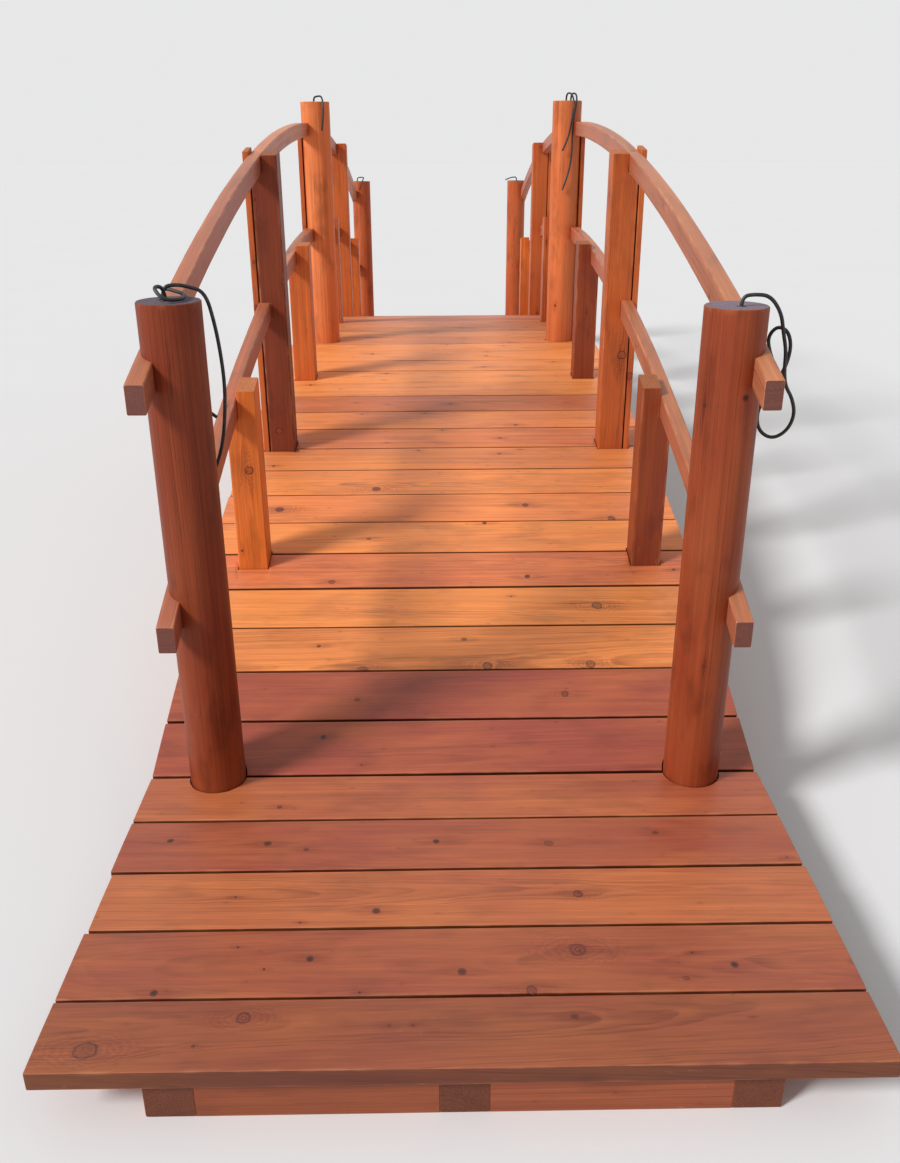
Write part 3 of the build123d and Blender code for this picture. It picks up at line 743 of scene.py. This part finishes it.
def deck_board(rng, stain, knots, y_top, z_top, angle=0.0, width=BOARD_WIDTH):
    """One deck board, whose top has its middle at y_top and z_top: a rectangle carried across the bridge.

    In its own frame t runs along the bridge and n stands square on it. Where a post crosses an edge of
    the board, that edge steps back to the post's outline. Where a post stands within the board, the
    board divides into a strip on each side of it. Its ends are a little uneven and it is slightly cupped."""
    sine, cosine = math.sin(angle), math.cos(angle)
    half = width / 2
    low_edge = -half + rng.uniform(-0.0016, 0.0012)
    high_edge = half + rng.uniform(-0.0012, 0.0016)
    tips = (-DECK_WIDTH / 2 + rng.uniform(-0.006, 0.003), DECK_WIDTH / 2 + rng.uniform(-0.003, 0.006))
    ease = rng.uniform(0.0015, 0.0026)

    stations = [np.linspace(*tips, BOARD_STATIONS), (tips[0] + END_STEP, tips[1] - END_STEP)]
    holes = []
    for x_from, x_to, y_post, half_post, is_round in POST_ROOM:
        away, reach = abs(y_post - y_top) / cosine, half_post / cosine
        if away - reach < half + 0.004:
            if is_round:
                stations.append((x_from + x_to) / 2 - (half_post - HAIR) * np.cos(np.linspace(0, np.pi, 17)))
            else:
                stations.append((x_from - HAIR, x_from + 10 * HAIR, x_to - 10 * HAIR, x_to + HAIR))
            if away + reach < half - (LEAST_STRIP_ROUND if is_round else LEAST_STRIP_SQUARE):
                holes.append((x_from, x_to))
    stations = np.unique(np.round(np.concatenate(stations), 6))

    pith = np.array((rng.uniform(-0.10, 0.10), -rng.uniform(0.012, 0.13)))
    tilt = rng.uniform(-0.03, 0.03, 2)
    bow = wave(rng, stations, 0.0008, 1.8)
    cup = rng.uniform(0.0002, 0.0012)
    lift = rng.uniform(-0.0004, 0.0006)
    make = (*stain, rng.uniform(0, 1))
    knots = [(x / 1000, t / 1000, 0.0, size / 1000) for x, t, size in knots]

    def taken(x, n):
        """For each post and each x, the stretch of t that the post takes at the height n, or an empty one."""
        x_from, x_to, y_post, half_post, is_round = np.array(POST_ROOM).T[..., None]
        rounded = np.sqrt(np.maximum(half_post**2 - (x - (x_from + x_to) / 2) ** 2, 0))
        reach = np.where((x > x_from) & (x < x_to), np.where(is_round, rounded, half_post), np.nan)
        return (y_post - reach - y_top - n * sine) / cosine, (y_post + reach - y_top - n * sine) / cosine

    def solid(x, part):
        """The stretch of the board over the stations x: whole, or before (-1) or beyond (1) a post."""
        limits = []
        for n in (0.0, -BOARD_THICKNESS):
            lows, highs = taken(x, n)
            low, high = np.full(len(x), low_edge), np.full(len(x), high_edge)
            within = (lows > low + LEAST_STRIP) & (highs < high - LEAST_STRIP)
            low_notch = (highs > low) & (lows <= low + LEAST_STRIP)
            high_notch = (lows < high) & (highs >= high - LEAST_STRIP)
            low = np.maximum(low, np.where(low_notch, highs, low).max(0))
            high = np.minimum(high, np.where(high_notch, lows, high).min(0))
            if part < 0:
                high = np.minimum(high, np.where(within, lows, high).min(0))
            if part > 0:
                low = np.maximum(low, np.where(within, highs, low).max(0))
            limits.append((low, high))
        shrink = np.where((x < tips[0] + 0.001) | (x > tips[1] - 0.001), END_EASE, 0.0)
        (low, high), (low_under, high_under) = [(low + shrink, high - shrink) for low, high in limits]
        bottom = shrink - BOARD_THICKNESS
        t, n, edge = section(low, high, bottom, -shrink, ease, SLIGHT_EASE, 5, low_under, high_under)
        across = np.broadcast_to(x[:, None], t.shape)
        bowed = t + np.interp(x, stations, bow)[:, None]
        raised = n + np.where(n > -BOARD_THICKNESS / 2, lift - cup * (t / half) ** 2, 0.0)
        points = (across, y_top + sine * raised + cosine * bowed, z_top + cosine * raised - sine * bowed)
        piece = timber(points, (across, t, n), edge, knots, make, pith, tilt)
        # Painted shade on the side faces below the eased top edge
        deep = n.ravel()[piece["faces"]].mean(1)
        shaded_sides = (deep < -0.002) & (deep > 0.003 - BOARD_THICKNESS)
        piece["make"][shaded_sides, 1] -= END_BOARD_PAINTED_SHADE if width == END_BOARD_WIDTH else GAP_PAINTED_SHADE
        return piece

    solids = []
    start = stations[0]
    for x_from, x_to in (*sorted(holes), (stations[-1], None)):
        whole = stations[(stations > start + 2 * HAIR) & (stations < x_from - 2 * HAIR)]
        solids.append(solid(np.concatenate(([start], whole, [x_from])), 0))
        if x_to is not None:
            beside = stations[(stations > x_from + 2 * HAIR) & (stations < x_to - 2 * HAIR)]
            beside = np.concatenate(([x_from + HAIR], beside, [x_to - HAIR]))
            solids += [solid(beside, -1), solid(beside, 1)]
            start = x_to
    return solids


def random_knots(rng, count, length=1.4):
    """Seeded knots on a board's face, mostly small, in millimetres."""
    smallest, largest = 0.003, 0.012
    sizes = smallest + (largest - smallest) * rng.random(count) ** 2
    across = rng.uniform(-length / 2, length / 2, count)
    return np.stack((across, rng.uniform(-0.08, 0.08, count), sizes), -1) * 1000


def random_stain(rng):
    return rng.uniform(0.1, 0.95), rng.uniform(0.50, 0.72)


def deck():
    rng = np.random.default_rng(41)
    for end_name, end in ENDS.items():
        solids = []
        for number in range(APPROACH_BOARDS):
            knots = LEVEL_KNOTS[number] if end < 0 else random_knots(rng, 5)
            stain = LEVEL_STAINS_AND_SHADE[number] if end < 0 else random_stain(rng)
            y, width = SPRING_Y + (number + 0.5) * BOARD_PITCH, BOARD_WIDTH
            if number == APPROACH_BOARDS - 1:
                y, width = DECK_END_Y - END_BOARD_WIDTH / 2, END_BOARD_WIDTH
            solids += deck_board(rng, stain, knots, end * y, APPROACH_LEVEL, width=width)
        build(f"level_boards_{end_name}", solids, "deck_boards", f"approach_boards_{end_name}")
        solids = []
        for step in range(1, ARCH_BOARDS // 2 + 1):
            number = end * step
            knots = ARCH_KNOTS.get(number) or random_knots(rng, rng.integers(2, 6))
            stain = ARCH_STAINS_AND_LIGHT.get(number) or random_stain(rng)
            angle = number * BOARD_PITCH / ARCH_RADIUS
            y, z = ARCH_RADIUS * math.sin(angle), ARCH_CENTRE_Z + ARCH_RADIUS * math.cos(angle)
            solids += deck_board(rng, stain, knots, y, z, angle)
        build(f"curved_deck_{end_name}", solids, "deck_boards", f"arch_boards_{end_name}")
    solids = deck_board(rng, ARCH_STAINS_AND_LIGHT[0], random_knots(rng, 3, 1.0), 0.0, CROWN_LEVEL)
    build("crown_board", solids, "deck_boards", "arch_board_crown")


deck()


# In plan: x from and to, and width along the bridge
SQUARE_PLAN = (STRINGER_FACE_X, POST_FACE_X, SQUARE_POST_WIDTH)
CHEEK_PLAN = (RAIL_FACE_X, CHEEK_FACE_X, SQUARE_POST_WIDTH)
HOUSING_STEP = 1e-4


def upright(rng, side, y_middle, plan, foot_z, head, stain, ease, knots, housings=()):
    """A square timber on end: a rectangle in plan carried up from its foot to its head.

    head gives the height for each y, so that it can follow an arc. A housing is (its underside, its
    top), both also following an arc, and there the outer face steps back to the rail's seat."""
    x_from, x_to, width = plan
    half = width / 2
    head_z = float(head(y_middle))
    plain = np.linspace(foot_z, head_z, max(8, int((head_z - foot_z) / 0.035)))
    outer = np.full(len(plain), x_to)
    clear = np.full(len(plain), True)
    rows = []
    for under, over in housings:
        bottom = under(y_middle)
        top = over(y_middle) if over else math.inf
        outer[(plain > bottom) & (plain < top)] = RAIL_SEAT_X
        clear &= (abs(plain - bottom) >= 0.030) & (abs(plain - top) >= 0.030)
        rows += [(bottom, x_to, under), (bottom + HOUSING_STEP, RAIL_SEAT_X, under)]
        if over:
            rows += [(top, RAIL_SEAT_X, over), (top + HOUSING_STEP, x_to, over)]
    clear[[0, -1]] = True
    rows += [(z, face, None) for z, face in zip(plain[clear], outer[clear])]
    lowest, *between, highest = sorted(rows, key=lambda row: row[0])
    rows = [lowest, (foot_z + 0.002, *lowest[1:]), *between, (head_z - END_STEP, *highest[1:]), highest]
    heights, outer = (np.array([row[k] for row in rows]) for k in (0, 1))
    shrink = np.zeros(len(heights))
    shrink[[0, -1]] = 0.0014
    bow = wave(rng, heights, 0.0007, 1.6)
    across, x, edge = section(-half + shrink, half - shrink, x_from + shrink, outer - shrink, ease, ease, 3)
    y = y_middle + across
    share = ((heights - foot_z) / (head_z - foot_z))[:, None]
    z = foot_z + share * (head(y) - foot_z)
    for row, (height, _, level) in enumerate(rows):
        if level:
            z[row] = level(y[row]) + height - level(y_middle)
    pith = rng.uniform(-0.07, 0.07, 2) + (0.0, 0.03)
    tilt = rng.uniform(-0.012, 0.012, 2)
    own = (z, across, x - (x_from + x_to) / 2)
    points = (side * x, y + bow[:, None], z)
    return timber(points, own, edge, knots, (*stain, rng.uniform(0, 1)), pith, tilt)


def post_knots(rng, plan, z_from, z_to, count):
    """Seeded knots on the near, far, inner and outer faces of an upright timber, as (z, y, x, radius)."""
    x_from, x_to, width = plan
    half_x = (x_to - x_from) / 2
    knots = []
    for _ in range(count):
        face = rng.integers(0, 4)
        y = rng.uniform(-0.4, 0.4) * width
        x = rng.uniform(-half_x, half_x)
        if face < 2:
            y = (-0.5, 0.5)[face] * width
        else:
            x = (-half_x, half_x)[face - 2]
        knots.append((rng.uniform(z_from, z_to), y, x, 0.004 + 0.009 * rng.random() ** 2))
    return knots


def square_posts():
    """The tall and short posts, the cheek boards and the crown strips. Three near posts follow the photograph."""
    rng = np.random.default_rng(17)
    half = SQUARE_POST_WIDTH / 2
    for side_name, side in SIDES.items():
        tall, cheeks, short, strips = [], [], [], []
        for end in ENDS.values():
            corner = (side, end)
            y = end * TALL_POST_Y
            foot_z = STRINGER_UNDER(TALL_POST_Y + half)
            knots = post_knots(rng, SQUARE_PLAN, 0.5, 1.6, 6)
            # Painted shade: the near left tall post is stained much darker
            stain = (0.05, -0.05) if corner == (-1, -1) else (rng.uniform(0.4, 0.9), rng.uniform(0.44, 0.54))
            if corner == (1, -1):
                knots[0] = (0.862, -half, 0.024, 0.015)
                stain = (0.50, 0.42)
            housings = [(LOWER_UNDER, LOWER_OVER), (TOP_UNDER, None)]
            tall.append(upright(rng, side, y, SQUARE_PLAN, foot_z, TOP_OVER, stain, EASE, knots, housings))
            knots = post_knots(rng, CHEEK_PLAN, 0.5, 1.6, 4)
            stain = (rng.uniform(0.3, 0.8), 0.46)
            head = arc(TOP_RAIL_RADIUS + CHEEK_ABOVE_RAIL)
            cheeks.append(upright(rng, side, y, CHEEK_PLAN, foot_z, head, stain, 0.0018, knots))
            for place, above_rail in zip(SHORT_POST_YS, SHORT_POSTS_ABOVE_RAIL):
                foot_z = STRINGER_UNDER(place + half)
                head = arc(LOWER_RAIL_RADIUS + above_rail, LOWER_RAIL_CENTRE_Z)
                knots = post_knots(rng, SQUARE_PLAN, 0.3, 1.1, 4)
                # Painted shade: the short posts at the near right are stained darker
                stain = (0.12, 0.10) if corner == (1, -1) else (rng.uniform(0.35, 0.9), rng.uniform(0.44, 0.54))
                if corner == (-1, -1) and place == SHORT_POST_YS[0]:
                    knots = [(0.677, -half, -0.011, 0.0131), (0.42, -half, 0.030, 0.004)]
                    stain = (0.95, 0.53)
                housings = [(LOWER_UNDER, None)]
                short.append(upright(rng, side, end * place, SQUARE_PLAN, foot_z, head, stain, EASE, knots, housings))
        gap = RAIL_STRIP_GAP
        levels = (CROWN_LEVEL, LOWER_UNDER(0) - gap, LOWER_OVER(0) + gap, TOP_UNDER(0) - gap)
        for z_from, z_to, x_from in zip(levels, levels[1:], (POST_FACE_X, RAIL_FACE_X, POST_FACE_X)):
            plan = (x_from, POST_FACE_X + CHEEK_THICKNESS, STRIP_WIDTH)
            knots = post_knots(rng, plan, z_from, z_to, 1)
            strips.append(upright(rng, side, 0.0, plan, z_from, constant(z_to), (0.5, 0.45), SLIGHT_EASE, knots))
        for name, node, solids in (
            ("tall_timbers", "tall_posts", tall), ("cheeks", "cheek_boards", cheeks),
            ("short_timbers", "short_posts", short), ("strip", "crown_strip", strips),
        ):
            build(f"{name}_{side_name}", solids, "square_posts", f"{node}_{side_name}")


square_posts()


# How much longer the grain of an arched timber is than its way across the bridge, and the same for its knots
ARCH_STRETCH = np.hypot(1.0, 0.15)
KNOT_STRETCH = 1.011


def arched(rng, side, x_from, x_to, over, under, y_from, y_to, tone, pith, knots, step=0.035, side_painted_shade=None):
    """An arched timber: an upright rectangle carried along the bridge between two arcs, its ends cut plumb.

    Its upright sides take a change of tone and shade, a painted shade that makes them darker and redder than its top."""
    half = (x_to - x_from) / 2
    y = np.linspace(y_from, y_to, max(4, int((y_to - y_from) / step)))
    y = np.concatenate(([y[0], y[0] + END_STEP], y[1:-1], [y[-1] - END_STEP, y[-1]]))
    shrink = np.zeros(len(y))
    shrink[[0, -1]] = END_EASE
    top, bottom = over(y), under(y)
    across, up, edge = section(-half + shrink, half - shrink, bottom + shrink, top - shrink, EASE, EASE, 2)
    x = (x_from + x_to) / 2 + across + wave(rng, y, 0.0006, 1.5)[:, None]
    z = up + wave(rng, y, 0.0005, 1.1)[:, None] * (bottom > 0.02)[:, None]
    along = np.broadcast_to(y[:, None], x.shape)
    own = (ARCH_STRETCH * along, across, up - top[:, None])
    placed = []
    for _ in range(knots):
        u = rng.uniform(y_from, y_to) * KNOT_STRETCH
        where = rng.integers(0, 3)
        a = (-half, half, rng.uniform(-half, half))[where]
        b = 0.0 if where == 2 else -rng.uniform(0.1, 0.9) * float((top - bottom).mean())
        placed.append((u, a, b, 0.003 + 0.006 * rng.random() ** 2))
    make = (tone, rng.uniform(0.42, 0.58), rng.uniform(0, 1))
    piece = timber((side * x, along, np.maximum(z, 0.0)), own, edge, placed, make, pith)
    # Painted shade: the upright sides are darker and redder than the top
    if side_painted_shade:
        face_x = piece["points"][piece["faces"], 0]
        piece["make"][(np.ptp(face_x, axis=1) < 0.002) & (piece["end_grain"] == 0), :2] += side_painted_shade
    return piece


def rails():
    rng = np.random.default_rng(29)
    gap = RAIL_BUTT_GAP / 2
    for side_name, side in SIDES.items():
        for name, over, under, tail in (
            ("top", TOP_OVER, TOP_UNDER, TOP_RAIL_TAIL), ("lower", LOWER_OVER, LOWER_UNDER, LOWER_RAIL_TAIL)
        ):
            butts = (-SPRING_Y - tail - gap, -TALL_POST_Y, 0.0, TALL_POST_Y, SPRING_Y + tail + gap)
            solids = []
            for y_from, y_to in zip(butts, butts[1:]):
                pith = (rng.uniform(-0.05, 0.05), rng.choice((-1, 1)) * rng.uniform(0.12, 0.25))
                length = (over, under, y_from + gap, y_to - gap)
                tone = rng.uniform(0.2, 0.8)
                # Painted shade on each rail's upright sides
                solids.append(
                    arched(rng, side, RAIL_SEAT_X, RAIL_FACE_X, *length, tone, pith, 4, side_painted_shade=(-0.25, -0.10))
                )
            build(f"{name}_handrail_{side_name}", solids, "rails", f"{name}_rail_{side_name}")


rails()


# Stain of each round post: from red to tan, from dark to light, and from dark to light on its head. The near posts are
# darker as painted shade, and the near heads hold painted shade on the left and painted sunlight on the right.
POST_STAINS_AND_LIGHT = {
    ("left", "near"): (0.18, 0.05, 0.40), ("right", "near"): (0.25, 0.16, 1.05), ("left", "crown"): (0.95, 0.56, 0.6),
    ("right", "crown"): (0.80, 0.50, 0.6), ("left", "far"): (0.50, 0.50, 0.6), ("right", "far"): (0.55, 0.50, 0.6),
}
# Knots placed after the photograph: height, turn from outward in degrees, and radius
NEAR_RIGHT_POST_KNOTS = [(1.068, -149.4, 0.0065), (1.09, -72.0, 0.008), (0.46, -100.0, 0.004)]
HEAD_CELLS = 28
HEAD_CHAMFER = 0.002
OUT_OF_ROUND = 0.0035
PIT_RADIUS = 0.0085
PIT_SLOPE = 0.003
PIT_DEPTH = 0.010


def round_post(rng, side, y_post, foot_z, head_z, shoulder_z, stain, exits, knots):
    """A turned post: a circle carried up from its foot and closed at both ends.

    Below the deck the circle is flatted where it seats on the stringer. The rim of the head is
    chamfered, and each cable leaves through a small pit in it."""
    cells = HEAD_CELLS
    line = np.linspace(-1, 1, cells + 1)[:-1]
    u = np.concatenate((line, np.ones(cells), -line, -np.ones(cells)))
    v = np.roll(u, cells)
    ring_x, ring_y = u * np.sqrt(1 - v**2 / 2), v * np.sqrt(1 - u**2 / 2)
    z = np.linspace(foot_z, head_z - HEAD_CHAMFER, int((head_z - foot_z) / 0.03))
    z = np.unique(np.concatenate((z, (shoulder_z - 5 * HAIR, shoulder_z + 5 * HAIR, head_z - 0.012))))
    z = np.append(z, head_z)[:, None]
    wide = np.full_like(z, ROUND_POST_RADIUS)
    wide[-1] -= HEAD_CHAMFER
    wide = wide * (1 + OUT_OF_ROUND * np.sin(3 * np.arctan2(ring_y, ring_x) + rng.uniform(0, 6)) * np.sin(z * 2.1))
    x = side * ROUND_POST_X + wide * ring_x
    x = np.where(z < shoulder_z, side * np.maximum(side * x, STRINGER_FACE_X), x)
    tube = np.stack((x, y_post + wide * ring_y, np.broadcast_to(z, x.shape)), -1)
    edge = np.zeros(x.shape)
    edge[-2:] = 1.0

    def cap(rim, pits=()):
        """A patch that closes the tube, drawn out between the four quarters of its rim."""
        rim = np.concatenate((rim, rim[:1]))
        south, east, north, west = (rim[k * cells:(k + 1) * cells + 1] for k in range(4))
        north, west = north[::-1], west[::-1]
        s = np.linspace(0, 1, cells + 1)[:, None, None]
        t = s.reshape(1, -1, 1)
        points = (1 - t) * south[:, None] + t * north[:, None] + (1 - s) * west + s * east
        points -= (1 - t) * ((1 - s) * south[0] + s * south[-1]) + t * ((1 - s) * north[0] + s * north[-1])
        for pit in pits:
            away = np.hypot(points[..., 0] - pit[0], points[..., 1] - pit[1])
            points[..., 2] -= PIT_DEPTH * np.clip((PIT_RADIUS - away) / PIT_SLOPE, 0, 1)
        return points.reshape(-1, 3)

    square = np.arange((cells + 1) ** 2).reshape(cells + 1, cells + 1)
    patch = np.stack((square[:-1, :-1], square[1:, :-1], square[1:, 1:], square[:-1, 1:]), -1).reshape(-1, 4)
    points = np.concatenate((tube.reshape(-1, 3), cap(tube[-1], exits), cap(tube[0])))
    faces = np.concatenate((tube_faces(x.shape)[1], patch + x.size, patch[:, ::-1] + x.size + square.size))
    ends = np.zeros(len(faces))
    ends[-2 * len(patch):] = 1
    _, first, merged = np.unique(np.round(points, 6), axis=0, return_index=True, return_inverse=True)
    x, y, z = points[first].T
    edge = np.concatenate((edge.ravel(), np.zeros(2 * square.size)))[first]
    pith = (rng.uniform(-0.03, 0.03), rng.choice((-1, 1)) * rng.uniform(0.16, 0.24))
    placed = []
    for height, azimuth, size in knots:
        turn = math.radians(azimuth)
        placed.append((height, ROUND_POST_RADIUS * math.sin(turn), ROUND_POST_RADIUS * math.cos(turn), size))
    own = (z, y - y_post, x - side * ROUND_POST_X)
    make = (*stain[:2], rng.uniform(0, 1))
    post = timber((x, y, z), own, edge, placed, make, pith, faces=merged.reshape(-1)[faces], ends=ends)
    # Painted light and shade on the head: its own shade from the table
    post["make"][ends > 0, 1] = stain[2]
    return post


def round_posts():
    rng = np.random.default_rng(53)
    under_deck = CROWN_LEVEL - BOARD_THICKNESS
    for side_name, side in SIDES.items():
        for name, node, places in (
            ("turned_posts", "end_posts", ("near", "far")), ("turned_post_crown", "crown_post", ("crown",))
        ):
            solids = []
            for place in places:
                _, y, head_z = post_head(side_name, place)
                foot_z, shoulder_z = under_deck - STRINGER_DEPTH, under_deck
                if place != "crown":
                    foot_z = 0.0
                    shoulder_z = STRINGER_OVER(SPRING_Y - ROUND_POST_RADIUS)
                exits = [route(*facts[:2], facts[3][0]) for facts in CABLES.values() if facts[:2] == (side_name, place)]
                if (side_name, place) == ("right", "near"):
                    knots = NEAR_RIGHT_POST_KNOTS
                else:
                    limits = ((0.3, 1.5), (-180, 180), (0.003, 0.007))
                    knots = [[rng.uniform(*pair) for pair in limits] for _ in range(3)]
                stain = POST_STAINS_AND_LIGHT[side_name, place]
                solids.append(round_post(rng, side, y, foot_z, head_z, shoulder_z, stain, exits, knots))
            build(f"{name}_{side_name}", solids, "round_posts", f"{node}_{side_name}")


round_posts()


def stringer_bottom(y):
    return np.maximum(STRINGER_UNDER(y), 0.0)


def under_timbers():
    """The three arched stringers, the level bearers and the braces between them."""
    rng = np.random.default_rng(71)
    outer = STRINGER_FACE_X - STRINGER_WIDTH
    inner = STRINGER_WIDTH / 2
    length = (STRINGER_OVER, stringer_bottom, -SPRING_Y, SPRING_Y)
    for name, side, x_from in (("left", -1, outer), ("middle", 1, -inner), ("right", 1, outer)):
        pith = (rng.uniform(-0.08, 0.08), -0.25)
        solids = [arched(rng, side, x_from, x_from + STRINGER_WIDTH, *length, 0.4, pith, 16, 0.06)]
        build(f"curved_beam_{name}", solids, "under_timbers", f"stringer_{name}")
    for end_name, end in ENDS.items():
        ends = sorted((end * SPRING_Y, end * (DECK_END_Y - BEARER_SETBACK)))
        length = (constant(BEARER_HEIGHT), constant(0.0), *ends)
        solids = []
        for x in (inner - STRINGER_FACE_X, 0.0, STRINGER_FACE_X - inner):
            pith = (rng.uniform(-0.08, 0.08), -0.15)
            solids.append(arched(rng, 1, x - inner, x + inner, *length, rng.uniform(0.2, 0.7), pith, 3))
        build(f"sleepers_{end_name}", solids, "under_timbers", f"bearers_{end_name}")
    solids = []
    half = BRACE_THICKNESS / 2
    reach = STRINGER_TOP_RADIUS - BRACE_DROP
    distances = [end * y for y in (SHORT_POST_YS[0], TALL_POST_Y, SHORT_POST_YS[1]) for end in (-1, 1)]
    places = [(distance / ARCH_RADIUS, 0) for distance in (*distances, 0.0)] + [(0.0, -1), (0.0, 1)]
    for side in (-1, 1):
        x = np.linspace(inner, outer, 18)
        for angle, end in places:
            depth = BEARER_HEIGHT if end else BRACE_DEPTH
            t, n, edge = section(np.full(len(x), -half), half, -depth, 0.0, SLIGHT_EASE, SLIGHT_EASE, 1)
            y = math.sin(angle) * (reach + n) + math.cos(angle) * t
            z = ARCH_CENTRE_Z + math.cos(angle) * (reach + n) - math.sin(angle) * t
            if end:
                y, z = end * (DECK_END_Y - BEARER_SETBACK - half) + t, BEARER_HEIGHT + n
            across = np.broadcast_to(side * x[:, None], t.shape)
            pith = rng.uniform(-0.08, 0.08, 2)
            make = (rng.uniform(0.1, 0.7), rng.uniform(0.42, 0.58), rng.uniform(0, 1))
            solids.append(timber((across, y, z), (across, t, n), edge, (), make, pith))
    build("braces", solids, "under_timbers", "cross_braces")


under_timbers()


# Floor, light and background

FLOOR_REACH = 60.0
SKY_STRENGTH = 0.40
BACKDROP = {"Color": (0.80, 0.80, 0.805, 1), "Strength": 1.0}
SUN_STRENGTH = 2.75
SUN_SPREAD = math.radians(14)
SUN_WAY = (0.707, 0.411, -0.575)


def make_floor():
    """A wide flat square of pale mineral floor, with a faint cloudiness."""
    material, graph, surface = new_material("pale floor")
    cloud = graph.noise(graph.node("ShaderNodeTexCoord", (), "Object"), 0.8, 4.0)
    graph.put(surface["Base Color"], graph.mix(cloud, (0.87, 0.87, 0.875, 1), (0.90, 0.90, 0.90, 1)))
    surface["Roughness"].default_value = 0.9
    surface["Specular IOR Level"].default_value = 0.15
    mesh = bpy.data.meshes.new("floor")
    corners = [(x * FLOOR_REACH, y * FLOOR_REACH, 0) for x, y in ((-1, -1), (1, -1), (1, 1), (-1, 1))]
    mesh.from_pydata(corners, [], [(0, 1, 2, 3)])
    mesh.materials.append(material)
    floor = add_object("floor", mesh)


def make_light():
    """Soft daylight from all round, with a broad soft lamp from the upper left."""
    world = bpy.data.worlds.new("studio")
    bpy.context.scene.world = world
    world.use_nodes = True
    graph = Graph(world.node_tree)
    plain = world.node_tree.nodes["Background"]
    plain.inputs["Color"].default_value = (1.0, 1.0, 1.0, 1)
    plain.inputs["Strength"].default_value = SKY_STRENGTH
    seen = graph.node("ShaderNodeBackground", BACKDROP)
    rays = graph.place("ShaderNodeLightPath").outputs
    camera, glossy, through = (Value(graph, rays[f"Is {kind} Ray"]) for kind in ("Camera", "Glossy", "Transmission"))
    mask = graph.math("ADD", graph.math("ADD", camera, glossy, clamp=True), through, clamp=True)
    mixed = graph.node("ShaderNodeMixShader", {0: mask, 1: Value(graph, plain.outputs[0]), 2: seen})
    graph.put(world.node_tree.nodes["World Output"].inputs["Surface"], mixed)
    data = bpy.data.lights.new("soft sun", "SUN")
    data.energy = SUN_STRENGTH
    data.angle = SUN_SPREAD
    lamp = add_object("soft sun", data)
    lamp.rotation_euler = Vector(SUN_WAY).to_track_quat("-Z", "Y").to_euler()


make_floor()
make_light()
bpy.context.scene.view_settings.view_transform = "Standard"
